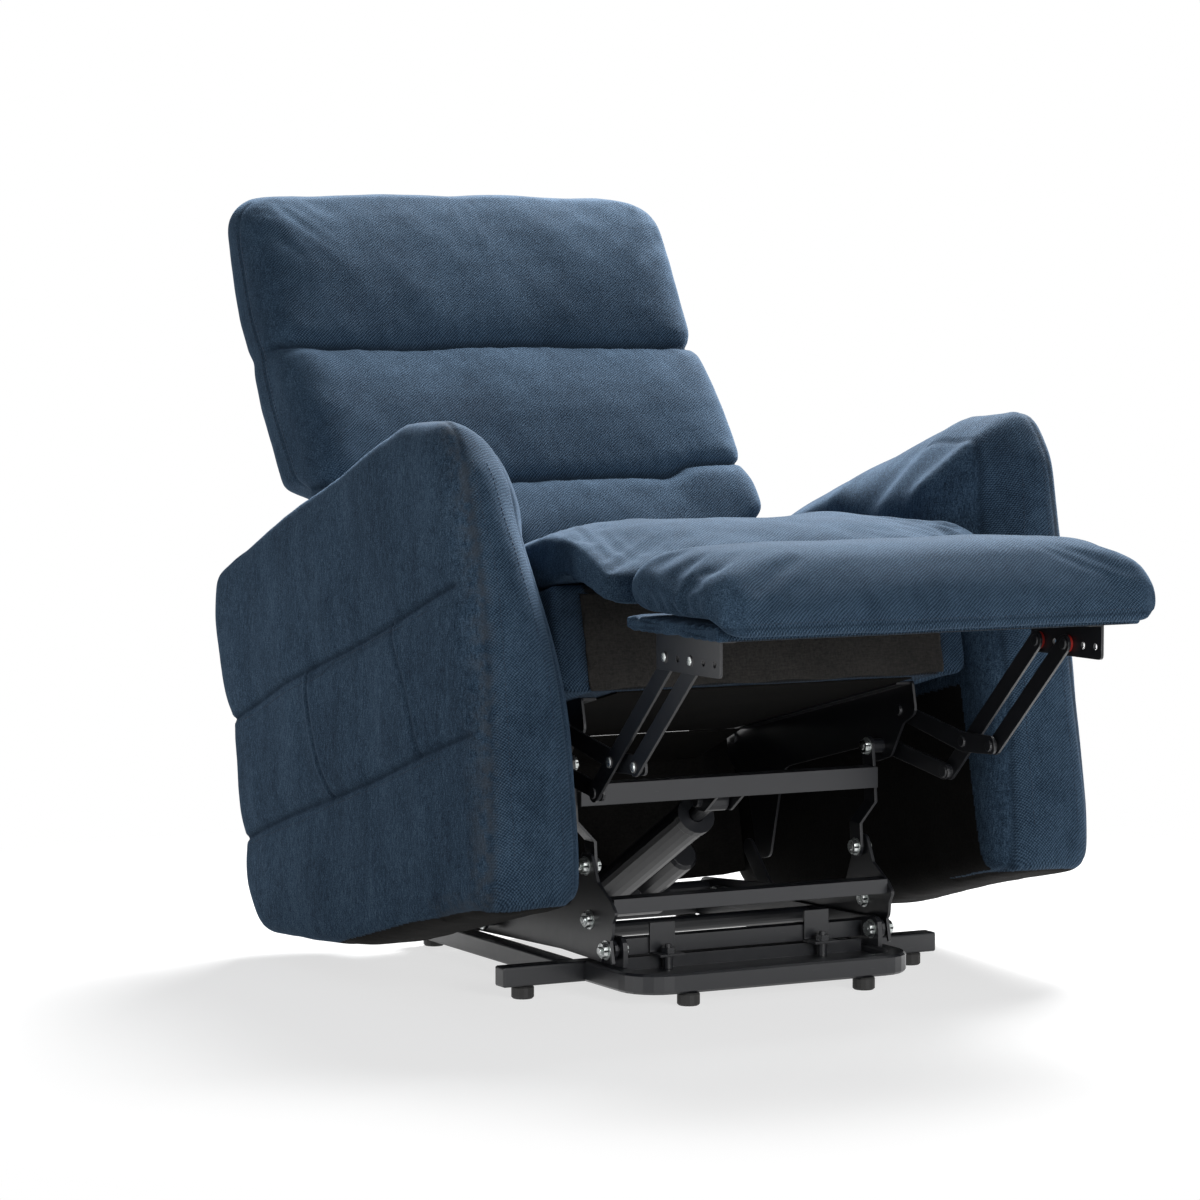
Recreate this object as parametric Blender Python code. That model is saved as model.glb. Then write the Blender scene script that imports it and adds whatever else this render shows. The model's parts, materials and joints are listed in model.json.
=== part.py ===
"""Power lift recliner chair: lift base, recliner linkage, footrest linkage and upholstered body.

Metres, +Z up, the chair faces -Y and is symmetric about X = 0. It is posed with the lift down,
the footrest out and the body tipped back by TILT. All linkages turn about axes along X.

Two families of coordinates are used for the (y, z) side view:
  ground  level with the floor, for the base, the lift frame, the drive and the footrest
  body    level with the upright chair, measured from the front pivot FRONT_PIVOT, for the rest
"""
import math

import bmesh
import bpy
import numpy as np
from mathutils import Vector
from mathutils.geometry import tessellate_polygon

# --- driving dimensions -------------------------------------------------------------------------
SEAT_WIDTH = 0.574          # clear width between the arms
ARM_THICKNESS = 0.1427      # one arm, inner face to outer face
TILT = math.radians(13.0)   # body tipped back in this pose
BASE_TUBE = 0.025           # square tube of the floor frame
FOOT_HEIGHT = 0.016         # rubber foot under the floor frame
FOOT_RADIUS = 0.014
PLATE = 0.004               # lift and drive plates
BAR = 0.0034                # footrest bars and seat plates
BAR_WIDTH = 0.023
PIN_RADIUS = 0.004          # rivets of the footrest linkage
BOLT_RADIUS = 0.005         # bolts of the lift linkage
TOUCH = 0.0003              # gap between pieces that touch
FIT = 0.0005                # gap of a pin in its hole
CUSHION_GAP = 0.004         # gap between soft pieces that move against each other

# --- pivots in the side view, ground family (y, z) ------------------------------------------------
LIFT_PIVOT = (-0.068, 0.062)      # lift arm on the floor frame
FRAME_PIVOT = (0.345, 0.052)      # lift frame on the lift arm
DRIVE_PIVOT = (-0.015, 0.159)     # drive link on the lift frame
FRONT_PIVOT = (-0.002, 0.284)     # body on the drive link
REAR_LINK_PIVOT = (0.236, 0.060)  # rear link on the lift frame
PLATE_BOLT = (-0.025, 0.094)      # stop bolt of the lift plate
CLEVIS_PIN = (0.018, 0.2255)      # actuator rod on the drive crossbar
MOTOR_TAIL = (0.345, 0.052)       # rear end of the actuator

# --- pivots in the side view, body family, from FRONT_PIVOT -------------------------------------
BAR_PIVOT = (-0.0529, 0.0381)     # lower bar on the seat plate
BAR_KNEE = (-0.1762, -0.0191)     # rear bar on the lower bar
STAY_KNEE = (-0.1263, -0.0498)    # stay on the rear bar
BRACKET_PIVOT = (-0.3500, 0.0803)  # rear bar on the footrest bracket
BRACKET_SPAN = 0.060              # between the two bars, on the bracket and on the lower bar
REAR_LINK_TOP = (0.326, -0.093)
BACK_PIVOT = (0.370, 0.060)
LEG_PAD_HINGE = (-0.163, 0.205)

# --- planes across the chair (X), all counted from the seat's side faces -------------------------
SEAT_HALF = SEAT_WIDTH / 2
ARM_INNER = SEAT_HALF + TOUCH
BRACKET_X = SEAT_HALF - 0.0287
UPPER_BAR_X = SEAT_HALF - 0.0363
LOWER_BAR_X = SEAT_HALF - 0.0445
SEAT_PLATE_X = SEAT_HALF - 0.0525
DRIVE_TOP_X = SEAT_HALF - 0.0730
REAR_LINK_X = SEAT_HALF - 0.0745
LIFT_PLATE_X = SEAT_HALF - 0.0905
LIFT_ARM_X = SEAT_HALF - 0.0970
LUG_X = SEAT_HALF - 0.1060
RAIL_X = REAR_LINK_X
TUBE_BOTTOM = FOOT_HEIGHT
TUBE_TOP = FOOT_HEIGHT + BASE_TUBE

SIDES = tuple(zip(("left", "right"), (-1, 1)))


# --- materials -----------------------------------------------------------------------------------
def material(name, colour, roughness, metallic=0.0):
    """A Principled material, made once for each name."""
    found = bpy.data.materials.get(name)
    if found:
        return found
    made = bpy.data.materials.new(name)
    made.use_nodes = True
    shader = made.node_tree.nodes["Principled BSDF"]
    shader.inputs["Base Color"].default_value = (*colour, 1.0)
    shader.inputs["Roughness"].default_value = roughness
    shader.inputs["Metallic"].default_value = metallic
    made.diffuse_color = (*colour, 1.0)
    return made


def fabric():
    return material("blue_fabric", (0.027, 0.062, 0.125), 0.85)


def dark_cloth():
    return material("dark_cloth", (0.018, 0.018, 0.019), 0.9)


def black_steel():
    return material("black_steel", (0.012, 0.012, 0.014), 0.4, 0.6)


def grey_steel():
    return material("grey_steel", (0.10, 0.10, 0.11), 0.35, 0.8)


def rubber():
    return material("rubber", (0.015, 0.015, 0.015), 0.7)


# --- bodies: one empty on each joint axis ---------------------------------------------------------
BODIES = {}


def body(name, parent=None, pivot=(0.0, 0.0), turn=0.0):
    """Add the empty that carries one moving body. Its pivot is in its own family's coordinates.

    A turn starts the other family, whose coordinates count from this pivot.
    """
    empty = bpy.data.objects.new(f"{name}_axis", None)
    empty.empty_display_size = 0.03
    bpy.context.collection.objects.link(empty)
    origin = (0.0, 0.0)
    if parent:
        empty.parent, origin = BODIES[parent]
    empty.location = (0.0, pivot[0] - origin[0], pivot[1] - origin[1])
    empty.rotation_euler.x = turn
    BODIES[name] = (empty, (0.0, 0.0) if turn else pivot)


def add_piece(name, body_name, mesh_data, look, smooth=False, origin=None):
    """Link a mesh as a piece of a body. The mesh is in the family's coordinates."""
    vertices, faces = mesh_data
    mesh = bpy.data.meshes.new(name)
    mesh.from_pydata([tuple(v) for v in vertices], [], faces)
    work = bmesh.new()
    work.from_mesh(mesh)
    bmesh.ops.remove_doubles(work, verts=work.verts, dist=1e-6)
    bmesh.ops.recalc_face_normals(work, faces=work.faces)
    work.to_mesh(mesh)
    work.free()
    if smooth:
        mesh.shade_smooth()
        mesh.set_sharp_from_angle(angle=math.radians(40))
    mesh.materials.append(look)
    piece = bpy.data.objects.new(name, mesh)
    bpy.context.collection.objects.link(piece)
    empty, pivot = BODIES[body_name]
    piece.parent = empty
    piece.location = (0.0, -pivot[0], -pivot[1])
    return piece


def boolean(piece, kind, mesh_data, label):
    """Cut a helper solid from a piece, or weld it on, with a Boolean modifier."""
    helper = add_piece(f"{piece.name}_{label}", next(iter(BODIES)), mesh_data, piece.data.materials[0])
    helper.parent = piece.parent
    helper.location = piece.location
    helper.hide_render = True
    helper.display_type = "WIRE"
    modifier = piece.modifiers.new(label, "BOOLEAN")
    modifier.operation = kind
    modifier.solver = "EXACT"
    modifier.object = helper


def weld(piece, mesh_data, label):
    boolean(piece, "UNION", mesh_data, label)


def bevel(piece, width, segments=2):
    """Round a piece's sharp edges."""
    modifier = piece.modifiers.new("bevel", "BEVEL")
    modifier.width = width
    modifier.segments = segments
    modifier.limit_method = "ANGLE"
    modifier.angle_limit = math.radians(30)


# --- shapes ---------------------------------------------------------------------------------------
def arc(centre, radius, start, end, steps):
    """Points on an arc, angles in degrees from +Y towards +Z."""
    turn = np.radians(np.linspace(start, end, steps + 1))
    return [(centre[0] + radius * math.cos(a), centre[1] + radius * math.sin(a)) for a in turn]


def circle(centre, radius, count=16, turn=0):
    """A hole's outline whose flats stay outside the radius."""
    grown = radius / math.cos(math.pi / count)
    return arc(centre, grown, turn, 360 + turn, count)[:-1]


def filleted(corners, steps=3):
    """Round the corners of an outline. Each corner is (y, z, radius)."""
    outline = []
    count = len(corners)
    for i, (y, z, radius) in enumerate(corners):
        here = np.array((y, z))
        before = np.array(corners[i - 1][:2]) - here
        after = np.array(corners[(i + 1) % count][:2]) - here
        reach_before, reach_after = np.linalg.norm(before), np.linalg.norm(after)
        before, after = before / reach_before, after / reach_after
        half = math.acos(max(-1.0, min(1.0, float(before @ after)))) / 2
        if radius <= 0 or half > math.radians(87):
            outline.append((y, z))
            continue
        cut = min(radius / math.tan(half), 0.45 * reach_before, 0.45 * reach_after)
        start, end = here + before * cut, here + after * cut
        for k in range(steps + 1):
            t = k / steps
            outline.append(tuple((1 - t) ** 2 * start + 2 * t * (1 - t) * here + t * t * end))
    return outline


def prism(outline, x0, x1, holes=()):
    """A flat plate: an outline in the side view, with holes, between two X planes."""
    loops = [list(outline), *[list(hole) for hole in holes]]
    flat = [point for loop in loops for point in loop]
    count = len(flat)
    triangles = tessellate_polygon([[Vector((0.0, y, z)) for y, z in loop] for loop in loops])
    vertices = [(x, y, z) for x in (x0, x1) for y, z in flat]
    faces = [tuple(t) for t in triangles] + [tuple(i + count for i in reversed(t)) for t in triangles]
    start = 0
    for loop in loops:
        n = len(loop)
        faces += [(start + i, start + (i + 1) % n, start + count + (i + 1) % n, start + count + i)
                  for i in range(n)]
        start += n
    return vertices, faces


def plate_at(outline, x, thickness, side, holes=()):
    """A plate on one side of the chair, centred on the plane x."""
    return prism(outline, side * (x - thickness / 2), side * (x + thickness / 2), holes)


def bar_outline(a, b, radius, steps=6):
    """A flat bar with round ends about two pivots."""
    turn = math.degrees(math.atan2(b[1] - a[1], b[0] - a[0]))
    return arc(b, radius, turn - 90, turn + 90, steps) + arc(a, radius, turn + 90, turn + 270, steps)


def box(x0, x1, y0, y1, z0, z1):
    """A plain block."""
    return prism([(y0, z0), (y1, z0), (y1, z1), (y0, z1)], x0, x1)


def turned(centre, stations, sides=12, axis=None):
    """A pin of stacked rounds and hexagons along X, or along another axis.

    Each station is (distance, radius) or (distance, radius, "hex").
    """
    along = np.array(axis if axis is not None else (1.0, 0.0, 0.0))
    along = along / np.linalg.norm(along)
    across = np.cross(along, (0.0, 0.0, 1.0)) if abs(along[2]) < 0.9 else np.array((1.0, 0.0, 0.0))
    across = across / np.linalg.norm(across)
    up = np.cross(along, across)
    turns = np.arange(sides) * 2 * math.pi / sides
    base = np.array((0.0, *centre)) if len(centre) == 2 else np.array(centre)
    vertices, faces = [], []
    for station in stations:
        radius = np.full(sides, station[1])
        if len(station) > 2:
            radius[1::2] *= math.cos(math.pi / 6)
        ring = base + along * station[0] + np.outer(np.cos(turns) * radius, across) \
            + np.outer(np.sin(turns) * radius, up)
        vertices += ring.tolist()
    rings = len(stations)
    for r in range(rings - 1):
        for i in range(sides):
            j = (i + 1) % sides
            faces.append((r * sides + i, r * sides + j, (r + 1) * sides + j, (r + 1) * sides + i))
    faces.append(tuple(range(sides)))
    faces.append(tuple((rings - 1) * sides + i for i in range(sides)))
    return vertices, faces


def bolt(centre, side, stations):
    """A bolt along X on one side; the distances are X on the right-hand side."""
    return turned(centre, [(side * s[0], *s[1:]) for s in stations])


def cushion(section, x0, x1, round_x, steps=4, held=None):
    """A soft block: a side-view section carried along X, drawn in at both ends.

    At each station the section shrinks about its own middle by
    round_x * (1 - sqrt(1 - t * t)), where t runs from 0 to 1 over the last round_x of the width.
    Points that held(y, z) names stay where they are.
    """
    points = np.array(section)
    middle = (points.min(axis=0) + points.max(axis=0)) / 2
    half = (points.max(axis=0) - points.min(axis=0)) / 2
    free = np.array([[0.0 if held and held(y, z) else 1.0] for y, z in section])
    t = np.sin(np.linspace(0, math.pi / 2, steps + 1)) ** 0.8
    ends = [(x0 + round_x * (1 - k), round_x * (1 - math.sqrt(max(0.0, 1 - k * k))) * 0.8) for k in t[::-1]]
    ends += [(x1 - round_x * (1 - k), round_x * (1 - math.sqrt(max(0.0, 1 - k * k))) * 0.8) for k in t]
    vertices, faces = [], []
    count = len(points)
    for x, inset in ends:
        scale = 1 - np.minimum(inset / half, 0.6) * free
        vertices += [(x, *p) for p in (middle + (points - middle) * scale)]
    for r in range(len(ends) - 1):
        for i in range(count):
            j = (i + 1) % count
            faces.append((r * count + i, r * count + j, (r + 1) * count + j, (r + 1) * count + i))
    faces.append(tuple(range(count)))
    faces.append(tuple((len(ends) - 1) * count + i for i in range(count)))
    return vertices, faces


def loft(rings):
    """Skin closed rings of the same count and cap both ends."""
    count = len(rings[0])
    vertices = [tuple(p) for ring in rings for p in ring]
    faces = [(r * count + i, r * count + (i + 1) % count, (r + 1) * count + (i + 1) % count,
              (r + 1) * count + i) for r in range(len(rings) - 1) for i in range(count)]
    faces.append(tuple(range(count)))
    faces.append(tuple((len(rings) - 1) * count + i for i in range(count)))
    return vertices, faces


def to_body(point):
    """Ground coordinates to body coordinates."""
    dy, dz = point[0] - FRONT_PIVOT[0], point[1] - FRONT_PIVOT[1]
    return (dy * math.cos(TILT) - dz * math.sin(TILT), dy * math.sin(TILT) + dz * math.cos(TILT))


def to_ground(point):
    """Body coordinates to ground coordinates."""
    y, z = point
    return (FRONT_PIVOT[0] + y * math.cos(TILT) + z * math.sin(TILT),
            FRONT_PIVOT[1] - y * math.sin(TILT) + z * math.cos(TILT))


# --- floor frame ----------------------------------------------------------------------------------
U_HALF_WIDTH = SEAT_HALF - 0.087
U_FRONT = -0.152
U_CORNER = 0.050
CROSS_HALF_WIDTH = SEAT_HALF + 0.023
CROSS_Y = -0.001
RAIL_BACK = 0.440


def make_floor_frame():
    """Front U tube, full-width cross member, side rails, rear member, tray, clips and feet."""
    cross_front = CROSS_Y - BASE_TUBE / 2
    cross_back = CROSS_Y + BASE_TUBE / 2
    inner = [(-U_HALF_WIDTH + BASE_TUBE / 2, cross_front - TOUCH)]
    radius = U_CORNER - BASE_TUBE / 2
    for x_sign, start, end in ((-1, 180, 270), (1, 270, 360)):
        for a in np.radians(np.linspace(start, end, 7)):
            inner.append((x_sign * (U_HALF_WIDTH - U_CORNER) + radius * math.cos(a),
                          U_FRONT + U_CORNER + radius * math.sin(a)))
    inner.append((U_HALF_WIDTH - BASE_TUBE / 2, cross_front - TOUCH))
    path = np.array(inner)
    step = np.gradient(path, axis=0)
    step[0] = (0.0, -1.0)
    step[-1] = (0.0, 1.0)
    step /= np.linalg.norm(step, axis=1)[:, None]
    normal = np.stack([step[:, 1], -step[:, 0]], axis=1)
    half, ease = BASE_TUBE / 2, 0.003
    ring = [(half, ease - half), (half, half - ease), (half - ease, half), (ease - half, half),
            (-half, half - ease), (-half, ease - half), (ease - half, -half), (half - ease, -half)]
    middle = TUBE_BOTTOM + half
    rings = [[(p[0] + n[0] * a, p[1] + n[1] * a, middle + b) for a, b in ring]
             for p, n in zip(path, normal)]
    add_piece("base_front_tube", "base", loft(rings), black_steel())

    cross = add_piece("base_cross_member", "base", box(-CROSS_HALF_WIDTH, CROSS_HALF_WIDTH, cross_front,
                      cross_back, TUBE_BOTTOM, TUBE_TOP), black_steel())
    bevel(cross, 0.0025)
    rear = add_piece("base_rear_member", "base", box(-RAIL_X - half, RAIL_X + half,
                     RAIL_BACK - BASE_TUBE, RAIL_BACK, TUBE_BOTTOM, TUBE_TOP), black_steel())
    bevel(rear, 0.0025)
    for word, side in SIDES:
        rail = add_piece(f"base_rail_{word}", "base",
                         box(side * (RAIL_X - half), side * (RAIL_X + half), cross_back + TOUCH,
                             RAIL_BACK - BASE_TUBE - TOUCH, TUBE_BOTTOM, TUBE_TOP), black_steel())
        bevel(rail, 0.0025)
        for place, x, y in (("outer", CROSS_HALF_WIDTH - 0.032, CROSS_Y),
                            ("front", U_HALF_WIDTH - 0.076, U_FRONT + half),
                            ("rear", RAIL_X - 0.0225, RAIL_BACK - half)):
            top = TUBE_BOTTOM - TOUCH
            add_piece(f"foot_{place}_{word}", "base",
                      turned((side * x, y, 0.0), [(0.0, FOOT_RADIUS - 0.002), (0.002, FOOT_RADIUS),
                             (top - 0.002, FOOT_RADIUS), (top, FOOT_RADIUS - 0.0015)], 16,
                             (0.0, 0.0, 1.0)), rubber(), smooth=True)

    tray_half = U_HALF_WIDTH - BASE_TUBE - 0.001
    tray_front = U_FRONT + BASE_TUBE + 0.001
    cut = U_CORNER - BASE_TUBE + 0.001
    outline = [(-tray_half, -0.050), (tray_half, -0.050), (tray_half, tray_front + cut - 0.003),
               (tray_half - cut + 0.003, tray_front), (-tray_half + cut - 0.003, tray_front),
               (-tray_half, tray_front + cut - 0.003)]
    sheet = [(x, y, z) for z in (0.030, 0.032) for x, y in outline]
    n = len(outline)
    faces = [tuple(range(n)), tuple(range(n, 2 * n))]
    faces += [(i, (i + 1) % n, n + (i + 1) % n, n + i) for i in range(n)]
    piece = add_piece("base_tray", "base", (sheet, faces), black_steel())
    weld(piece, box(-tray_half, tray_half, -0.052, -0.050, 0.031, 0.0475), "lip")
    make_lug_tube()
    for word, side in SIDES:
        make_clip(word, side)


def make_lug_tube():
    """Cross tube between the two lift lugs, each lug with its bolt, welded as one piece."""
    y, z = LIFT_PIVOT
    inner = LUG_X - 0.003
    tube = add_piece("base_lug_tube", "base", box(-inner - 0.001, inner + 0.001, y + 0.022, y + 0.042,
                     z - 0.012, z + 0.008), black_steel())
    lug = filleted([(y - 0.018, TUBE_TOP + TOUCH, 0), (y + 0.050, TUBE_TOP + TOUCH, 0),
                    (y + 0.050, z + 0.012, 0.006), (y - 0.018, z + 0.018, 0.016)])
    for word, side in SIDES:
        weld(tube, plate_at(lug, LUG_X, 0.006, side), f"lug_{word}")
        weld(tube, bolt(LIFT_PIVOT, side, [
            (LUG_X - 0.009, 0.0095, "hex"), (LUG_X - 0.002, 0.0095, "hex"), (LUG_X - 0.002, 0.008),
            (LIFT_ARM_X - PLATE / 2 - TOUCH, 0.008), (LIFT_ARM_X - PLATE / 2 - TOUCH, BOLT_RADIUS),
            (LIFT_PLATE_X + PLATE / 2 + TOUCH, BOLT_RADIUS),
            (LIFT_PLATE_X + PLATE / 2 + TOUCH, 0.0095, "hex"),
            (LIFT_PLATE_X + PLATE / 2 + 0.007, 0.0095, "hex"),
            (LIFT_PLATE_X + PLATE / 2 + 0.007, BOLT_RADIUS - 0.001),
            (LIFT_PLATE_X + PLATE / 2 + 0.010, BOLT_RADIUS - 0.001)]), f"bolt_{word}")


def make_clip(word, side):
    """Angle clip from the lug tube over the tray's lip, with the screw that holds the tray."""
    x, half = side * 0.55 * U_HALF_WIDTH, 0.0175
    back = LIFT_PIVOT[0] + 0.022 - TOUCH
    low = 0.0488
    tab = filleted([(back - 0.030, low, 0), (back, low, 0), (back, 0.088, 0), (back - 0.003, 0.088, 0),
                    (back - 0.003, low + 0.003, 0.002), (back - 0.030, low + 0.003, 0)], 2)
    clip = add_piece(f"tray_clip_{word}", "base", prism(tab, x - half, x + half), black_steel())
    weld(clip, turned((x, back - 0.017, 0.0), [
        (0.032 + TOUCH, 0.006), (low + 0.002, 0.006), (low + 0.002, 0.009, "hex"),
        (low + 0.010, 0.009, "hex"), (low + 0.010, 0.004), (low + 0.014, 0.004)],
        axis=(0.0, 0.0, 1.0)), "screw")


# --- lift arms and lift frame ---------------------------------------------------------------------
def make_lift():
    """Two lift arms with their cross tube, then the lift frame that they carry."""
    hole = BOLT_RADIUS + FIT
    for word, side in SIDES:
        outline = bar_outline(LIFT_PIVOT, FRAME_PIVOT, 0.0125)
        add_piece(f"lift_arm_{word}", "lift_arms",
                  plate_at(outline, LIFT_ARM_X, PLATE, side,
                           (circle(LIFT_PIVOT, hole), circle(FRAME_PIVOT, hole))), black_steel())
    inner = LIFT_ARM_X - PLATE / 2 - TOUCH
    share = 0.42
    y = LIFT_PIVOT[0] + share * (FRAME_PIVOT[0] - LIFT_PIVOT[0])
    z = LIFT_PIVOT[1] + share * (FRAME_PIVOT[1] - LIFT_PIVOT[1])
    add_piece("lift_arm_cross_tube", "lift_arms",
              turned((0.0, y, z), [(-inner, 0.010), (inner, 0.010)], 16), black_steel(), smooth=True)

    by, bz = LIFT_PIVOT
    ty, tz = DRIVE_PIVOT
    ry, rz = FRAME_PIVOT
    notch, flare = BOLT_RADIUS + 0.0012, 0.013
    end = ry + 0.052
    plate_outline = filleted([
        (by - 0.017, bz - 0.015, 0.010), (by - flare, bz - 0.016, 0), (by - notch, bz, 0)])
    plate_outline += arc((by, bz), notch, 180, 0, 6)[1:-1]
    plate_outline += filleted([
        (by + notch, bz, 0), (by + flare, bz - 0.016, 0), (0.05, bz - 0.014, 0.01),
        (end, rz - 0.016, 0.014), (end, rz + 0.018, 0.014), (0.10, 0.092, 0.02),
        (0.022, 0.106, 0.02), (ty + 0.016, tz - 0.004, 0.006), (ty + 0.013, tz + 0.016, 0.012),
        (ty - 0.014, tz + 0.016, 0.012), (ty - 0.030, tz - 0.017, 0.006),
        (ty - 0.064, tz - 0.037, 0.006), (ty - 0.077, tz - 0.050, 0.006),
        (ty - 0.069, tz - 0.062, 0.008), (by - 0.014, bz + 0.016, 0.012)])
    inner_face = LIFT_PLATE_X - PLATE / 2
    outer_face = LIFT_PLATE_X + PLATE / 2
    for word, side in SIDES:
        plate = add_piece(f"lift_plate_{word}", "lift_frame",
                          plate_at(plate_outline, LIFT_PLATE_X, PLATE, side), black_steel())
        head = [(outer_face - 0.001, 0.0095, "hex"), (outer_face + 0.007, 0.0095, "hex"),
                (outer_face + 0.007, 0.004), (outer_face + 0.010, 0.004)]
        moving = LIFT_ARM_X
        pin = [(moving - 0.0085, 0.009, "hex"), (moving - PLATE / 2 - TOUCH, 0.009, "hex"),
               (moving - PLATE / 2 - TOUCH, BOLT_RADIUS), (moving + PLATE / 2 + TOUCH, BOLT_RADIUS),
               (moving + PLATE / 2 + TOUCH, 0.0085), (inner_face + 0.001, 0.0085)]
        for label, spot in (("drive_bolt", DRIVE_PIVOT), ("arm_bolt", FRAME_PIVOT)):
            weld(plate, bolt(spot, side, pin + head), label)
        weld(plate, bolt(PLATE_BOLT, side, [(inner_face - 0.006, 0.009, "hex"),
                                            (inner_face + 0.001, 0.009, "hex")] + head), "plate_bolt")
        link_in, link_out = REAR_LINK_X - PLATE / 2, REAR_LINK_X + PLATE / 2
        weld(plate, bolt(REAR_LINK_PIVOT, side, [
            (inner_face - 0.002, 0.008), (outer_face, 0.008), (link_in - TOUCH, 0.008),
            (link_in - TOUCH, BOLT_RADIUS), (link_out + TOUCH, BOLT_RADIUS),
            (link_out + TOUCH, 0.009, "hex"), (link_out + 0.006, 0.009, "hex")]), "link_bolt")

    reach = inner_face - TOUCH
    front = ty - 0.066
    top = 0.125
    angle = [(front, top - 0.018), (front + 0.003, top - 0.018), (front + 0.003, top - 0.003),
             (front + 0.028, top - 0.003), (front + 0.028, top), (front, top)]
    add_piece("lift_front_crossbar", "lift_frame", prism(angle, -reach, reach), grey_steel())
    tube_y, tube_z = end - 0.017, rz + 0.003
    rear = add_piece("lift_rear_tube", "lift_frame",
                     turned((0.0, tube_y, tube_z), [(-reach, 0.0125), (reach, 0.0125)], 16),
                     black_steel(), smooth=True)
    ear = filleted([(tube_y + 0.008, tube_z - 0.009, 0.004), (tube_y + 0.008, tube_z + 0.009, 0.004),
                    (MOTOR_TAIL[0] - 0.012, MOTOR_TAIL[1] + 0.016, 0.010),
                    (MOTOR_TAIL[0] - 0.012, MOTOR_TAIL[1] - 0.012, 0.010)])
    for word, side in SIDES:
        weld(rear, plate_at(ear, 0.026, PLATE, side), f"ear_{word}")


# --- drive link, actuator and rear link -----------------------------------------------------------
def make_drive():
    """Bent drive links, their crossbar with the actuator clevis, and the rear links."""
    ty, tz = DRIVE_PIVOT
    fy, fz = FRONT_PIVOT
    half = 0.0125
    bend_low, bend_high = tz + 0.030, tz + 0.056

    def middle(z):
        return ty + (fy - ty) * (z - tz) / (fz - tz)

    for word, side in SIDES:
        low = arc(DRIVE_PIVOT, half, 180, 360, 8)
        low += [(middle(bend_low) + half, bend_low), (middle(bend_low) - half, bend_low)]
        high = [(middle(bend_high) - half, bend_high), (middle(bend_high) + half, bend_high)]
        high += arc(FRONT_PIVOT, half, 0, 180, 8)
        link = add_piece(f"drive_link_{word}", "drive",
                         plate_at(low, LIFT_ARM_X, PLATE, side,
                                  (circle(DRIVE_PIVOT, BOLT_RADIUS + FIT),)), black_steel())
        weld(link, plate_at(high, DRIVE_TOP_X, PLATE, side,
                            (circle(FRONT_PIVOT, BOLT_RADIUS + FIT),)), "upper")
        xs = (LIFT_ARM_X - PLATE / 2, LIFT_ARM_X + PLATE / 2)
        rings = []
        for z, shift in ((bend_low - 0.003, 0.0), (bend_low, 0.0),
                         (bend_high, DRIVE_TOP_X - LIFT_ARM_X),
                         (bend_high + 0.003, DRIVE_TOP_X - LIFT_ARM_X)):
            y = middle(z)
            rings.append([(side * (x + shift), yy, z) for x, yy in (
                (xs[0], y - half), (xs[1], y - half), (xs[1], y + half), (xs[0], y + half))])
        weld(link, loft(rings), "bend")
        outline = bar_outline(REAR_LINK_PIVOT, to_ground(REAR_LINK_TOP), 0.0125)
        add_piece(f"rear_link_{word}", "rear_link",
                  plate_at(outline, REAR_LINK_X, PLATE, side,
                           (circle(REAR_LINK_PIVOT, BOLT_RADIUS + FIT),)), black_steel())

    reach = DRIVE_TOP_X - PLATE / 2 - TOUCH
    front, top = ty - 0.014, fz - 0.024
    angle = [(front, top - 0.026), (front + 0.003, top - 0.026), (front + 0.003, top - 0.003),
             (front + 0.028, top - 0.003), (front + 0.028, top), (front, top)]
    crossbar = add_piece("drive_crossbar", "drive", prism(angle, -reach, reach), grey_steel())
    cy, cz = CLEVIS_PIN
    ear = filleted([(front + 0.002, top - 0.001, 0), (front + 0.002, top - 0.024, 0),
                    (cy - 0.012, cz - 0.013, 0.008), (cy + 0.013, cz - 0.013, 0.010),
                    (cy + 0.013, cz + 0.014, 0.010), (front + 0.026, top - 0.001, 0.0)])
    for word, side in SIDES:
        weld(crossbar, plate_at(ear, 0.0185, PLATE, side), f"ear_{word}")
    weld(crossbar, turned(CLEVIS_PIN, [(-0.027, 0.008), (-0.0195, 0.008), (-0.0195, BOLT_RADIUS),
                                       (0.0195, BOLT_RADIUS), (0.0195, 0.008), (0.027, 0.008)]), "pin")


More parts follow.
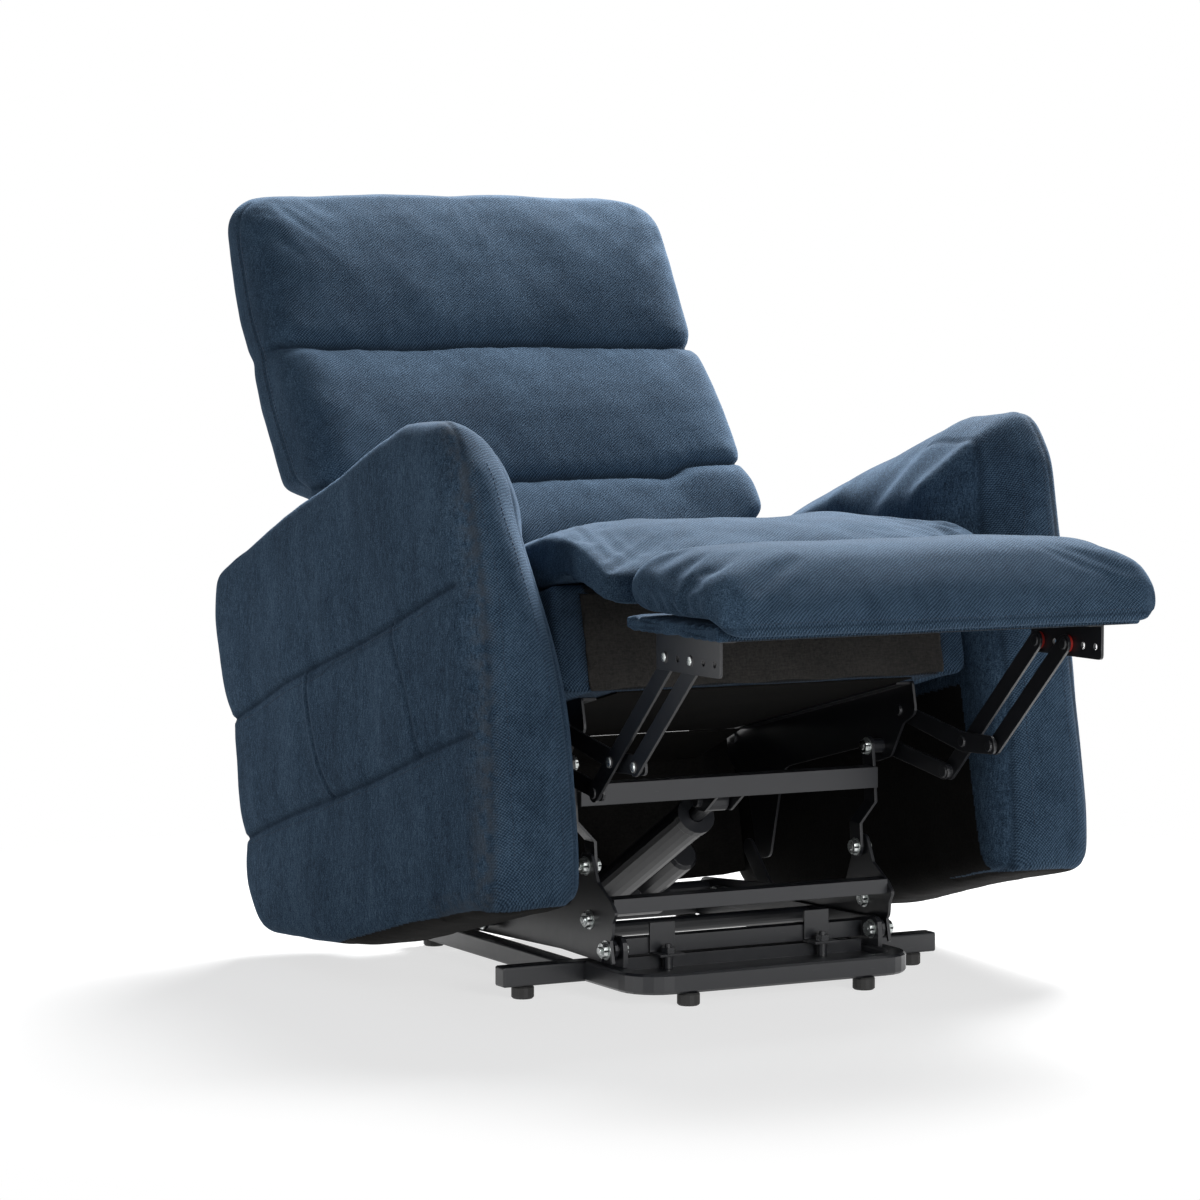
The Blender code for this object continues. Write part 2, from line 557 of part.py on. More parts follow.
def make_actuator():
    """Screw actuator: rod with its eye on the drive crossbar, tube, and gear motor at the rear."""
    start = np.array(CLEVIS_PIN)
    run = np.array(MOTOR_TAIL) - start
    length = float(np.linalg.norm(run))
    along = run / length
    axis = (0.0, float(along[0]), float(along[1]))
    rod_radius, bore, tube_radius = 0.0095, 0.0105, 0.0240
    tube_start, tube_end = 0.050, length - 0.070
    inside = 0.090
    turn = math.degrees(math.atan2(along[1], along[0]))
    eye = arc(CLEVIS_PIN, 0.014, turn + 40, turn + 320, 10)
    rod = add_piece("actuator_rod", "rod", prism(eye, -0.0145, 0.0145,
                    (circle(CLEVIS_PIN, BOLT_RADIUS + FIT),)), grey_steel())
    weld(rod, turned(CLEVIS_PIN, [(0.0085, rod_radius), (tube_start + inside, rod_radius)], 16, axis),
         "rod")

    stations = [(tube_start + 0.100, bore), (tube_start, bore), (tube_start, tube_radius + 0.0015),
                (tube_start + 0.012, tube_radius + 0.0015), (tube_start + 0.012, tube_radius),
                (tube_end, tube_radius)]
    ring = turned(CLEVIS_PIN, stations, 20, axis)
    add_piece("actuator_tube", "actuator", ring, grey_steel(), smooth=True)

    def spot(distance, lift=0.0):
        point = start + along * distance + np.array((-along[1], along[0])) * lift
        return (float(point[0]), float(point[1]))

    case_start, case_end = tube_end + TOUCH, length - 0.022
    case = filleted([(*spot(case_start, -0.030), 0.006), (*spot(case_end, -0.030), 0.010),
                     (*spot(case_end, 0.030), 0.010), (*spot(case_start, 0.030), 0.006)])
    motor = add_piece("actuator_motor", "actuator", prism(case, -0.030, 0.082), black_steel())
    weld(motor, turned((0.054, *spot(0.0)), [(case_start - 0.105, 0.017), (case_start - 0.100, 0.021),
                                             (case_start + 0.010, 0.021)], 16, axis), "motor")
    tail = bar_outline(spot(case_end - 0.006), spot(length), 0.011)
    weld(motor, prism(tail, -0.011, 0.011), "tail")


# --- seat plates and footrest linkage -------------------------------------------------------------
def make_seat_plates():
    """Side plates of the recliner under the seat, with the pins of everything that turns on them."""
    top = BOX_BOTTOM - TOUCH
    outline = filleted([
        (-0.090, top, 0.004), (-0.090, 0.028, 0.012), (-0.058, 0.020, 0.012),
        (-0.020, -0.017, 0.012), (0.020, -0.019, 0.014), (0.044, 0.004, 0.02), (0.250, 0.004, 0.03),
        (REAR_LINK_TOP[0] - 0.016, REAR_LINK_TOP[1] - 0.015, 0.012),
        (REAR_LINK_TOP[0] + 0.016, REAR_LINK_TOP[1] - 0.015, 0.012), (0.350, -0.010, 0.03),
        (BACK_PIVOT[0] + 0.020, BACK_PIVOT[1] - 0.028, 0.015),
        (BACK_PIVOT[0] + 0.020, BACK_PIVOT[1] + 0.020, 0.018),
        (BACK_PIVOT[0] - 0.020, BACK_PIVOT[1] + 0.020, 0.010), (0.342, top, 0.006)])
    inner, outer = SEAT_PLATE_X - BAR / 2, SEAT_PLATE_X + BAR / 2
    bar_in, bar_out = LOWER_BAR_X - BAR / 2, LOWER_BAR_X + BAR / 2
    link_in, link_out = DRIVE_TOP_X - PLATE / 2, DRIVE_TOP_X + PLATE / 2
    bracket_in = outer + 0.0005
    outboard = [(outer - 0.001, 0.0075), (bar_in - TOUCH, 0.0075), (bar_in - TOUCH, PIN_RADIUS),
                (bar_out + TOUCH, PIN_RADIUS), (bar_out + TOUCH, 0.0075), (bar_out + 0.0025, 0.0065)]
    for word, side in SIDES:
        plate = add_piece(f"seat_plate_{word}", "chassis",
                          plate_at(outline, SEAT_PLATE_X, BAR, side), black_steel())
        weld(plate, box(side * (inner - 0.020), side * (inner + 0.001), -0.085, 0.330, top - 0.0034,
                        top - 0.0001), "flange")
        weld(plate, bolt((0.0, 0.0), side, [
            (link_in - 0.0065, 0.009, "hex"), (link_in - TOUCH, 0.009, "hex"),
            (link_in - TOUCH, BOLT_RADIUS), (link_out + TOUCH, BOLT_RADIUS),
            (link_out + TOUCH, 0.009), (inner + 0.001, 0.009), *outboard]), "front_bolt")
        weld(plate, bolt(BAR_PIVOT, side, [(inner - 0.003, 0.0065), (inner + 0.001, 0.0075), *outboard]),
             "bar_pin")
        weld(plate, bolt(BACK_PIVOT, side, [
            (inner - 0.003, 0.008), (outer - 0.001, 0.008), (outer - 0.001, BOLT_RADIUS),
            (bracket_in + 0.003 + TOUCH, BOLT_RADIUS), (bracket_in + 0.003 + TOUCH, 0.0085),
            (bracket_in + 0.0065, 0.0075)]), "back_bolt")


def shifted(point, along, distance):
    return (point[0] + along[0] * distance, point[1] + along[1] * distance)


def make_footrest_linkage():
    """Lower bar, stay, rear bar and front bar on each side, riveted at their knees."""
    forward = (-math.cos(TILT), -math.sin(TILT))
    front_knee = shifted(BAR_KNEE, forward, BRACKET_SPAN)
    front_pin = shifted(BRACKET_PIVOT, forward, BRACKET_SPAN)
    radius = BAR_WIDTH / 2
    hole = PIN_RADIUS + FIT
    low_in, low_out = LOWER_BAR_X - BAR / 2, LOWER_BAR_X + BAR / 2
    up_in, up_out = UPPER_BAR_X - BAR / 2, UPPER_BAR_X + BAR / 2
    knee_pin = [(low_in - 0.002, 0.0065), (low_in + 0.001, 0.0075), (low_out - 0.001, 0.0075),
                (up_in - TOUCH, 0.0075), (up_in - TOUCH, PIN_RADIUS), (up_out + TOUCH, PIN_RADIUS),
                (up_out + TOUCH, 0.0075), (up_out + 0.0022, 0.0065)]
    lower = filleted([(BAR_PIVOT[0] + radius, BAR_PIVOT[1] + radius, radius * 0.9),
                      (BAR_PIVOT[0] + radius, BAR_PIVOT[1] - radius, radius * 0.9),
                      (BAR_KNEE[0] + 0.004, BAR_KNEE[1] - radius - 0.001, 0.03),
                      (front_knee[0] - radius, front_knee[1] - radius - 0.001, radius * 0.9),
                      (front_knee[0] - radius, front_knee[1] + radius - 0.001, radius * 0.9),
                      (BAR_KNEE[0] - 0.002, BAR_KNEE[1] + radius, 0.03)])
    for word, side in SIDES:
        bar = add_piece(f"footrest_lower_bar_{word}", "lower_bar",
                        plate_at(lower, LOWER_BAR_X, BAR, side, (circle(BAR_PIVOT, hole),)),
                        black_steel())
        weld(bar, bolt(BAR_KNEE, side, knee_pin), "rear_knee")
        weld(bar, bolt(front_knee, side, knee_pin), "front_knee")
        add_piece(f"footrest_stay_{word}", "stay",
                  plate_at(bar_outline((0.0, 0.0), STAY_KNEE, radius - 0.001), LOWER_BAR_X, BAR, side,
                           (circle((0.0, 0.0), hole), circle(STAY_KNEE, PIN_RADIUS + 0.0027))),
                  black_steel())
        rear = add_piece(f"footrest_rear_bar_{word}", "rear_bar",
                         plate_at(bar_outline(STAY_KNEE, BRACKET_PIVOT, radius), UPPER_BAR_X, BAR,
                                  side, (circle(BAR_KNEE, hole), circle(BRACKET_PIVOT, hole))),
                         black_steel())
        weld(rear, bolt(STAY_KNEE, side, [
            (up_out + 0.0020, 0.0065), (up_out - 0.001, 0.0075), (up_in + 0.001, 0.0085),
            (low_out + TOUCH, 0.0085), (low_out + TOUCH, PIN_RADIUS), (low_in - TOUCH, PIN_RADIUS),
            (low_in - TOUCH, 0.0085), (low_in - 0.0020, 0.0075)]), "stay_pin")
        add_piece(f"footrest_front_bar_{word}", "front_bar",
                  plate_at(bar_outline(front_knee, front_pin, radius), UPPER_BAR_X, BAR, side,
                           (circle(front_knee, hole), circle(front_pin, hole))), black_steel())


def make_footrest():
    """Footrest brackets, board and pad, in ground coordinates from the bracket pivot."""
    up_in, up_out = UPPER_BAR_X - BAR / 2, UPPER_BAR_X + BAR / 2
    plate_in, plate_out = BRACKET_X - BAR / 2, BRACKET_X + BAR / 2
    board_bottom = 0.029
    pitch = BRACKET_SPAN / 2
    spares = (1, 3, 3.85)
    spare = [circle((-pitch * k, 0.0), 0.0038, 10, 7 * k) for k in spares]
    reach = pitch * spares[-1] + 0.0125
    outline = filleted([(0.020, -0.015, 0.006), (0.020, board_bottom - TOUCH, 0),
                        (-reach, board_bottom - TOUCH, 0), (-reach, -0.015, 0.006)])
    pin = [(up_in - 0.0022, 0.0065), (up_in - TOUCH, 0.0075), (up_in - TOUCH, PIN_RADIUS),
           (up_out + TOUCH, PIN_RADIUS), (up_out + TOUCH, 0.0075), (plate_in + 0.001, 0.0075),
           (plate_out - 0.001, 0.0075), (plate_out + 0.002, 0.0065)]
    for word, side in SIDES:
        bracket = add_piece(f"footrest_bracket_{word}", "footrest",
                            plate_at(outline, BRACKET_X, BAR, side, spare), black_steel())
        weld(bracket, box(side * (plate_in - 0.018), side * (plate_in + 0.0012), 0.0008 - reach, 0.0192,
                          board_bottom - TOUCH - 0.0036, board_bottom - TOUCH - 0.0004), "flange")
        for k in (0, 1):
            weld(bracket, bolt((-BRACKET_SPAN * k, 0.0), side, pin), f"pin_{k}")
    board_top = board_bottom + 0.018
    board = filleted([(0.050, board_bottom, 0.008), (0.050, board_top, 0.008),
                      (-0.168, board_top, 0.004), (-0.168, board_bottom, 0.004)])
    wide = SEAT_HALF - 0.001
    add_piece("footrest_board", "footrest", cushion(board, -wide, wide, 0.02, 3), fabric(), True)
    bottom = board_top + TOUCH
    top = bottom + 0.074
    front, lip = -0.204, -0.168 - TOUCH
    section = filleted([(0.034, bottom, 0.012), (0.044, bottom + 0.045, 0.025), (0.010, top, 0.05),
                        (-0.110, top, 0.08), (front + 0.006, top - 0.014, 0.05),
                        (front, bottom + 0.006, 0.010), (front + 0.010, bottom, 0.004)], 4)
    wide = SEAT_HALF + 0.017
    pad = add_piece("footrest_pad", "footrest", cushion(section, -wide, wide, 0.045), fabric(), True)
    wide -= 0.024
    weld(pad, box(-wide, wide, front + 0.0005, lip, board_bottom + 0.001, bottom + 0.020), "lip")


# --- upholstered body -----------------------------------------------------------------------------
BOX_FRONT, BOX_BACK = -0.140, 0.335
BOX_BOTTOM, BOX_TOP = 0.070, 0.200
CLOTH = 0.002               # dust cloths
REAR_CLOTH_Y = 0.470        # rear dust cloth, behind everything that swings under the body
REAR_CLOTH_LOW, REAR_CLOTH_HIGH = -0.098, 0.046
SEAT_FRONT = -0.158


def make_seat():
    """Seat box, the dark cloths, the seat cushion and the leg pad in front of it.

    The rear dust cloth hangs between the arms and closes up to the seat box with its apron.
    """
    half = SEAT_HALF
    panel, underside = half - 0.037, half - 0.079
    seat_box = add_piece("seat_box", "chassis", box(-half, half, BOX_FRONT, BOX_BACK, BOX_BOTTOM,
                         BOX_TOP), fabric())
    bevel(seat_box, 0.008)
    add_piece("seat_front_panel", "chassis",
              box(-panel, panel, BOX_FRONT - TOUCH - CLOTH, BOX_FRONT - TOUCH, BOX_BOTTOM + 0.002,
                  BOX_TOP - 0.012), dark_cloth())
    add_piece("seat_underside_cloth", "chassis",
              box(-underside, underside, BOX_FRONT + 0.010, BOX_BACK - 0.010,
                  BOX_BOTTOM - TOUCH - CLOTH, BOX_BOTTOM - TOUCH), dark_cloth())
    rear = add_piece("rear_dust_cloth", "chassis",
                     box(-half, half, REAR_CLOTH_Y, REAR_CLOTH_Y + CLOTH, REAR_CLOTH_LOW,
                         REAR_CLOTH_HIGH), dark_cloth())
    inside = SEAT_PLATE_X - BAR / 2 - 0.007
    start, end = (BOX_BACK + TOUCH, BOX_BOTTOM - CLOTH), (REAR_CLOTH_Y + CLOTH / 2,
                                                          REAR_CLOTH_HIGH - CLOTH)
    weld(rear, prism([start, end, (end[0], end[1] - CLOTH), (start[0], start[1] - CLOTH)],
                     -inside, inside), "apron")
    front = SEAT_FRONT
    seat = filleted([(front + 0.010, BOX_TOP + TOUCH, 0.010), (0.312, BOX_TOP + TOUCH, 0.010),
                     (0.312, 0.252, 0.020), (0.080, 0.272, 0.10), (-0.040, 0.284, 0.06),
                     (front + 0.028, 0.281, 0.03), (front, 0.268, 0.02), (front, 0.218, 0.01)], 4)
    add_piece("seat_cushion", "chassis", cushion(seat, -half + 0.003, half - 0.003, 0.030),
              fabric(), True)

    slope = math.radians(28)
    hinge = LEG_PAD_HINGE

    def at(s, n):
        return (hinge[0] - s * math.cos(slope) - n * math.sin(slope),
                hinge[1] - s * math.sin(slope) + n * math.cos(slope))

    pad = filleted([(*at(0.000, 0.004), 0), (front - TOUCH, 0.220, 0.003),
                    (front - TOUCH, 0.262, 0.012), (*at(0.060, 0.050), 0.05),
                    (*at(0.118, 0.044), 0.02), (*at(0.126, 0.004), 0.010)], 4)
    add_piece("leg_pad", "leg_pad", cushion(pad, -half + 0.002, half - 0.002, 0.018), fabric(), True)


def arm_outline():
    """Side outline of an arm in body coordinates, without the bulge of its front."""
    return filleted([
        (-0.150, -0.184, 0.030), (0.222, -0.187, 0.12), (0.376, -0.170, 0.10), (0.497, -0.142, 0.05),
        (0.540, -0.078, 0.06), (0.536, 0.020, 0.10), (0.545, 0.150, 0.10), (0.560, 0.270, 0.05),
        (0.540, 0.334, 0.05), (0.442, 0.356, 0.10), (0.270, 0.381, 0.15), (0.112, 0.396, 0.15),
        (-0.045, 0.417, 0.10), (-0.150, 0.393, 0.07), (-0.185, 0.336, 0.08), (-0.185, 0.250, 0.15),
        (-0.183, 0.120, 0.15), (-0.176, -0.020, 0.15), (-0.166, -0.110, 0.05)], 3)


def make_arms():
    """Padded arms: the side outline carried across and drawn in towards both faces.

    The inner edge is drawn in most at the top of the front, where the arm leans out from the
    sitter, and the front bulges between its edges.
    """
    outline = np.array(arm_outline())
    along = np.roll(outline, -1, axis=0) - np.roll(outline, 1, axis=0)
    along /= np.linalg.norm(along, axis=1)[:, None]
    inward = np.stack([-along[:, 1], along[:, 0]], axis=1)
    y, z = outline[:, 0], outline[:, 1]
    front = np.clip((0.02 - y) / 0.14, 0, 1) * np.clip((0.44 - z) / 0.2, 0, 1)
    high = np.clip(z / 0.36, 0, 1)
    high = high * high * (3 - 2 * high)
    near = np.clip((0.20 - y) / 0.25, 0.3, 1)
    stations = 0.5 - 0.5 * np.cos(math.pi * np.linspace(0.0, 1.0, 14))
    for word, side in SIDES:
        rings = []
        for k in stations:
            inner, outer = k * ARM_THICKNESS, (1 - k) * ARM_THICKNESS
            leaning = (0.02 + 0.09 * high * near) * np.clip(1 - inner / (0.03 + 0.07 * high), 0, 1) ** 1.3
            rounded = (0.012 + 0.018 * near) * (1 - math.sqrt(1 - max(0.0, 1 - outer / 0.034) ** 2))
            points = outline + inward * (leaning + rounded)[:, None]
            bulge = 0.020 * math.sin(math.pi * k)
            x = side * (ARM_INNER + inner)
            rings.append([(x, py - bulge * f, pz) for (py, pz), f in zip(points, front)])
        add_piece(f"arm_{word}", "chassis", loft(rings), fabric(), True)
        pocket = filleted([(0.270, 0.120, 0.015), (0.002, 0.140, 0.015), (-0.040, 0.002, 0.012),
                           (0.236, -0.002, 0.012)], 2)
        x = ARM_INNER + ARM_THICKNESS + TOUCH
        add_piece(f"arm_pocket_{word}", "chassis", prism(pocket, side * x, side * (x + 0.004)),
                  fabric())


# --- backrest -------------------------------------------------------------------------------------
BACK_LINE = ((0.400, 0.110), (0.412, 0.200), (0.4325, 0.300), (0.4735, 0.430), (0.5300, 0.560),
             (0.5720, 0.690), (0.5880, 0.790))


BACK_HALF_WIDTH = SEAT_HALF + 0.039


def back_line(height):
    """Rear face of the pillows, which is the front face of the shell, at a height."""
    heights = [p[1] for p in BACK_LINE]
    return float(np.interp(height, heights, [p[0] for p in BACK_LINE]))


def on_shell(y, z):
    """Whether a point of a pillow's section lies against the shell."""
    return z < 0.812 and abs(y - back_line(z)) < 0.0035


def along_shell(low, high, gap=TOUCH):
    """Corners of a pillow's rear face, from its foot up."""
    inside = [p[1] for p in BACK_LINE if low + 0.001 < p[1] < high - 0.001]
    return [(back_line(z) - gap, z, 0) for z in (low, *inside, high)]


def make_back():
    """Shell, three stitched pillows and the two brackets that carry the backrest.

    A row of the shell is (height, rear face, side face out from the seat's side face).
    """
    rows = np.array(((0.112, 0.452, -0.0508), (0.252, 0.492, -0.0508), (0.268, 0.497, -0.015),
                     (0.400, 0.537, -0.011), (0.420, 0.545, -0.007), (0.444, 0.556, 0.027),
                     (0.560, 0.606, 0.033), (0.690, 0.647, 0.033), (0.775, 0.660, 0.021),
                     (0.806, 0.652, 0.001)))
    rows[:, 2] += SEAT_HALF
    knots = [p[1] for p in BACK_LINE if rows[0, 0] < p[1] < rows[-1, 0]]
    heights = sorted({*rows[:, 0].tolist(), *knots})
    soft = 0.014
    rings = []
    for z in heights:
        rear, half = np.interp(z, rows[:, 0], rows[:, 1]), np.interp(z, rows[:, 0], rows[:, 2])
        near = back_line(z)
        rings.append([(x, y, z) for x, y in (
            (-half, near), (half, near), (half, rear - soft), (half - soft * 0.3, rear - soft * 0.3),
            (half - soft, rear), (-half + soft, rear), (-half + soft * 0.3, rear - soft * 0.3),
            (-half, rear - soft))])
    add_piece("back_shell", "backrest", loft(rings), fabric())

    half = SEAT_HALF - CUSHION_GAP
    low = filleted([(0.316, 0.272, 0.020), *along_shell(0.272, 0.424), (0.386, 0.424, 0.022),
                    (0.336, 0.345, 0.05)], 4)
    pillow = add_piece("back_pillow_lower", "backrest", cushion(low, -half, half, 0.024, 4, on_shell),
                       fabric(), True)
    roll = filleted([(0.368, 0.389, 0.006), *along_shell(0.389, 0.4236, TOUCH + 0.0006),
                     (0.3868, 0.4236, 0.018)], 3)
    weld(pillow, cushion(roll, 0.006 - BACK_HALF_WIDTH, BACK_HALF_WIDTH - 0.006, 0.022, 3, on_shell),
         "roll")
    middle = filleted([(0.392, 0.4275, 0.022), *along_shell(0.4275, 0.628), (0.490, 0.628, 0.025),
                       (0.430, 0.540, 0.06)], 4)
    add_piece("back_pillow_middle", "backrest", cushion(middle, -BACK_HALF_WIDTH,
              BACK_HALF_WIDTH, 0.024, 4, on_shell), fabric(), True)
    upper = filleted([(0.492, 0.6315, 0.022), *along_shell(0.6315, 0.8085), (0.592, 0.8105, 0),
                      (0.660, 0.8105, 0.015), (0.648, 0.846, 0.02), (0.600, 0.858, 0.03),
                      (0.556, 0.832, 0.03), (0.530, 0.760, 0.06), (0.508, 0.690, 0.06)], 4)
    add_piece("back_pillow_upper", "backrest", cushion(upper, -BACK_HALF_WIDTH,
              BACK_HALF_WIDTH, 0.044, 4, on_shell), fabric(), True)

    inner = SEAT_PLATE_X + BAR / 2 + 0.0005
    top = (0.446, 0.235)
    for word, side in SIDES:
        add_piece(f"back_bracket_{word}", "backrest",
                  prism(bar_outline(BACK_PIVOT, top, 0.015), side * inner, side * (inner + 0.003),
                        (circle(BACK_PIVOT, BOLT_RADIUS + FIT),)), black_steel())


def set_origin_under_middle():
    """Move the whole chair so that the middle of its box is at X = Y = 0 on the floor."""
    bpy.context.view_layer.update()
    corners = [piece.matrix_world @ Vector(corner) for piece in bpy.context.scene.objects
               if piece.type == "MESH" and not piece.hide_render for corner in piece.bound_box]
    ys = [corner.y for corner in corners]
    BODIES["base"][0].location.y = -(min(ys) + max(ys)) / 2
    bpy.context.view_layer.update()


def main():
    for old in list(bpy.data.objects):
        bpy.data.objects.remove(old, do_unlink=True)
    body("base")
    body("lift_arms", "base", LIFT_PIVOT)
    body("lift_frame", "lift_arms", FRAME_PIVOT)
    body("drive", "lift_frame", DRIVE_PIVOT)
    body("rear_link", "lift_frame", REAR_LINK_PIVOT)
    body("rod", "drive", CLEVIS_PIN)
    body("actuator", "rod", CLEVIS_PIN)
    body("chassis", "drive", FRONT_PIVOT, -TILT)
    body("leg_pad", "chassis", LEG_PAD_HINGE)
    body("backrest", "chassis", BACK_PIVOT)
    body("lower_bar", "chassis", BAR_PIVOT)
    body("stay", "chassis", (0.0, 0.0))
    body("rear_bar", "lower_bar", BAR_KNEE)
    forward = (-math.cos(TILT), -math.sin(TILT))
    body("front_bar", "lower_bar", shifted(BAR_KNEE, forward, BRACKET_SPAN))
    body("footrest", "rear_bar", BRACKET_PIVOT, TILT)
    make_floor_frame()
    make_lift()
    make_drive()
    make_actuator()
    make_seat_plates()
    make_footrest_linkage()
    make_footrest()
    make_seat()
    make_arms()
    make_back()
    set_origin_under_middle()


main()
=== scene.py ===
"""Looks of a power lift recliner: stuffed upholstery, dust cloths, painted linkage and zinc hardware.

Metres, +Z up, the chair faces -Y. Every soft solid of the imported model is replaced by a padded
form in the same place, and every steel node keeps its shape and gets a worked finish.
"""
import json
import logging
import math
from dataclasses import dataclass, field
from enum import Enum
from functools import cached_property
from typing import Any, Callable, Optional, Sequence

import bpy
import numpy as np
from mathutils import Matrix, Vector


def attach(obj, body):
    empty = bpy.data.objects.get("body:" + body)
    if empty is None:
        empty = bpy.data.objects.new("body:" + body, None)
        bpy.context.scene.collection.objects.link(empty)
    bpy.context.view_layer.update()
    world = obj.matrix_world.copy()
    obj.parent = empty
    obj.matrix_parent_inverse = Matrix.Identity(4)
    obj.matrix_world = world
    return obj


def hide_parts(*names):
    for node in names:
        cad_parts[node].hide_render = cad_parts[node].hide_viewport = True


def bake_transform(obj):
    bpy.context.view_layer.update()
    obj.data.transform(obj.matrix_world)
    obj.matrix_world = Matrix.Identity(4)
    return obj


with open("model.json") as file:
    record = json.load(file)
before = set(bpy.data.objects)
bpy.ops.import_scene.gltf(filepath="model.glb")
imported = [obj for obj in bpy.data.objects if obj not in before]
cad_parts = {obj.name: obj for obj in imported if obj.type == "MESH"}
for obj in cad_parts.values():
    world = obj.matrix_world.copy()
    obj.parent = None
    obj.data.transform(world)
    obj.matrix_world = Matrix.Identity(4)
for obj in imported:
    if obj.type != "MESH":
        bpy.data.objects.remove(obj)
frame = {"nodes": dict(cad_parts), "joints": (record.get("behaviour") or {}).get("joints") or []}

LOG = logging.getLogger("recliner")
Array = np.ndarray
Colour = tuple[float, float, float]
Point = tuple[float, float]
Surface = tuple[Array, list[list[int]]]        # vertices, and the vertex numbers of each face
Piece = bpy.types.Object
Material = bpy.types.Material
WHITE = (1.0, 1.0, 1.0, 1.0)
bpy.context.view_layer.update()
PIVOTS: dict[str, Array] = {joint["name"]: np.array(joint["pos_m"]) for joint in frame["joints"]
                            if joint.get("pos_m")}
TILT = math.radians(13.0)          # the body is tipped back in this pose
LIFT_PIVOT_Y = -0.068              # lift pivot, from the cross member


class Side(Enum):
    """One side of the chair, with the sign of its X."""

    LEFT = -1.0
    RIGHT = 1.0

    @property
    def word(self) -> str:
        """The side's name as the nodes spell it."""
        return self.name.lower()


class Slot(Enum):
    """The record's material slot names; two of them pick a fastener's finish here."""

    FABRIC = "blue_fabric"
    DARK = "dark_cloth"
    BLACK = "black_steel"
    GREY = "grey_steel"


# --- places ---
@dataclass(frozen=True)
class SideFrame:
    """A family of side-view coordinates: an origin in the row frame and a turn about X."""

    y: float
    z: float
    turn: float = 0.0

    def place(self, points: Array) -> Array:
        """Own coordinates to the row frame: turned back about X, then shifted.

        Args:
            points: an array whose last axis is (x, y, z).

        Returns:
            The same points in the row frame.
        """
        c, s = math.cos(self.turn), math.sin(self.turn)
        x, y, z = np.moveaxis(np.asarray(points, float), -1, 0)
        return np.stack([x, self.y + y * c + z * s, self.z - y * s + z * c], -1)

    def local(self, points: Array) -> Array:
        """Row coordinates to the family's own, the reverse of place.

        Args:
            points: an array whose last axis is (x, y, z), in the row frame.

        Returns:
            The same points in the family's own coordinates.
        """
        c, s = math.cos(self.turn), math.sin(self.turn)
        x, y, z = np.moveaxis(np.asarray(points, float), -1, 0)
        y, z = y - self.y, z - self.z
        return np.stack([x, y * c - z * s, y * s + z * c], -1)


GROUND = SideFrame(float(PIVOTS["lift"][1]) - LIFT_PIVOT_Y, 0.0)
BODY = SideFrame(float(PIVOTS["body_level"][1]), float(PIVOTS["body_level"][2]), TILT)
FOOTREST = SideFrame(float(PIVOTS["footrest_fold"][1]), float(PIVOTS["footrest_fold"][2]))


# --- shapes as arrays ---
def smooth(t: Array) -> Array:
    """Ease from 0 to 1: three t squared minus two t cubed, held outside 0 to 1."""
    t = np.clip(t, 0.0, 1.0)
    return t * t * (3 - 2 * t)


def bell(distance: Array, width: float) -> Array:
    """A Gaussian bell of the distance over the width."""
    return np.exp(-(np.asarray(distance) / width) ** 2)


@dataclass(frozen=True)
class Fold:
    """A line sunk into cloth: the width of its bell, and its depth, below 0 where it is raised."""

    width: float
    depth: float

    def share(self, *gaps: Array) -> Array:
        """Sum of the bells of the distances from one line or several."""
        return sum(bell(gap, self.width) for gap in gaps)


def soft_outline(corners: Sequence[Point], softness: float, count: int) -> Array:
    """Round a closed polygon: even steps along it, averaged over a Gaussian window.

    Args:
        corners: the polygon's corners.
        softness: standard deviation of the window, in metres of outline.
        count: number of points returned.

    Returns:
        An array of count points (y, z).
    """
    loop = np.array([*corners, corners[0]], float)
    reach = np.concatenate([[0.0], np.cumsum(np.linalg.norm(np.diff(loop, axis=0), axis=1))])
    even = np.linspace(0.0, reach[-1], count, endpoint=False)
    path = np.stack([np.interp(even, reach, loop[:, k]) for k in (0, 1)], 1)
    frequency = np.fft.fftfreq(count, reach[-1] / count)
    window = np.exp(-2 * (math.pi * frequency * softness) ** 2)
    return np.real(np.fft.ifft(np.fft.fft(path, axis=0) * window[:, None], axis=0))


def inward(outline: Array) -> Array:
    """Unit normals of a closed outline, turned towards its inside.

    The chord between a point's two neighbours is turned by a quarter, and the sign of twice the
    outline's area says which way is inside.

    Args:
        outline: (n, 2) points.

    Returns:
        One unit normal for each point.
    """
    along = np.roll(outline, -1, axis=0) - np.roll(outline, 1, axis=0)
    along /= np.linalg.norm(along, axis=1)[:, None]
    normal = np.stack([-along[:, 1], along[:, 0]], 1)
    y, z = outline.T
    area = np.sum(y * np.roll(z, -1) - z * np.roll(y, -1))
    return normal * np.sign(area)


def ripple(points: Array, length: float, seed: int, waves: int = 9) -> Array:
    """Uneven swell of about -1 to 1: a sum of plane waves in seeded directions.

    Args:
        points: (n, 3) places in metres.
        length: the mean wave length in metres.
        seed: picks the directions and phases.
        waves: how many waves are added.

    Returns:
        One height for each point.
    """
    draw = np.random.default_rng(seed)
    direction = draw.normal(size=(waves, 3))
    direction /= np.linalg.norm(direction, axis=1)[:, None]
    pitch = length * draw.uniform(0.6, 1.6, waves)
    phase = draw.uniform(0, 2 * math.pi, waves)
    return np.sin(points @ direction.T * (2 * math.pi / pitch) + phase).sum(1) / math.sqrt(waves) / 1.4


def line_distance(y: Array, z: Array, a: Point, b: Point) -> Array:
    """Signed distance of points from the line through a and b, positive above it.

    Args:
        y: first coordinates of the points.
        z: second coordinates of the points.
        a: where the line begins.
        b: where the line ends.

    Returns:
        The cross product of the line's unit direction with the way from a to each point.
    """
    run = np.array(b) - np.array(a)
    run = run / np.linalg.norm(run)
    return (z - a[1]) * run[0] - (y - a[0]) * run[1]


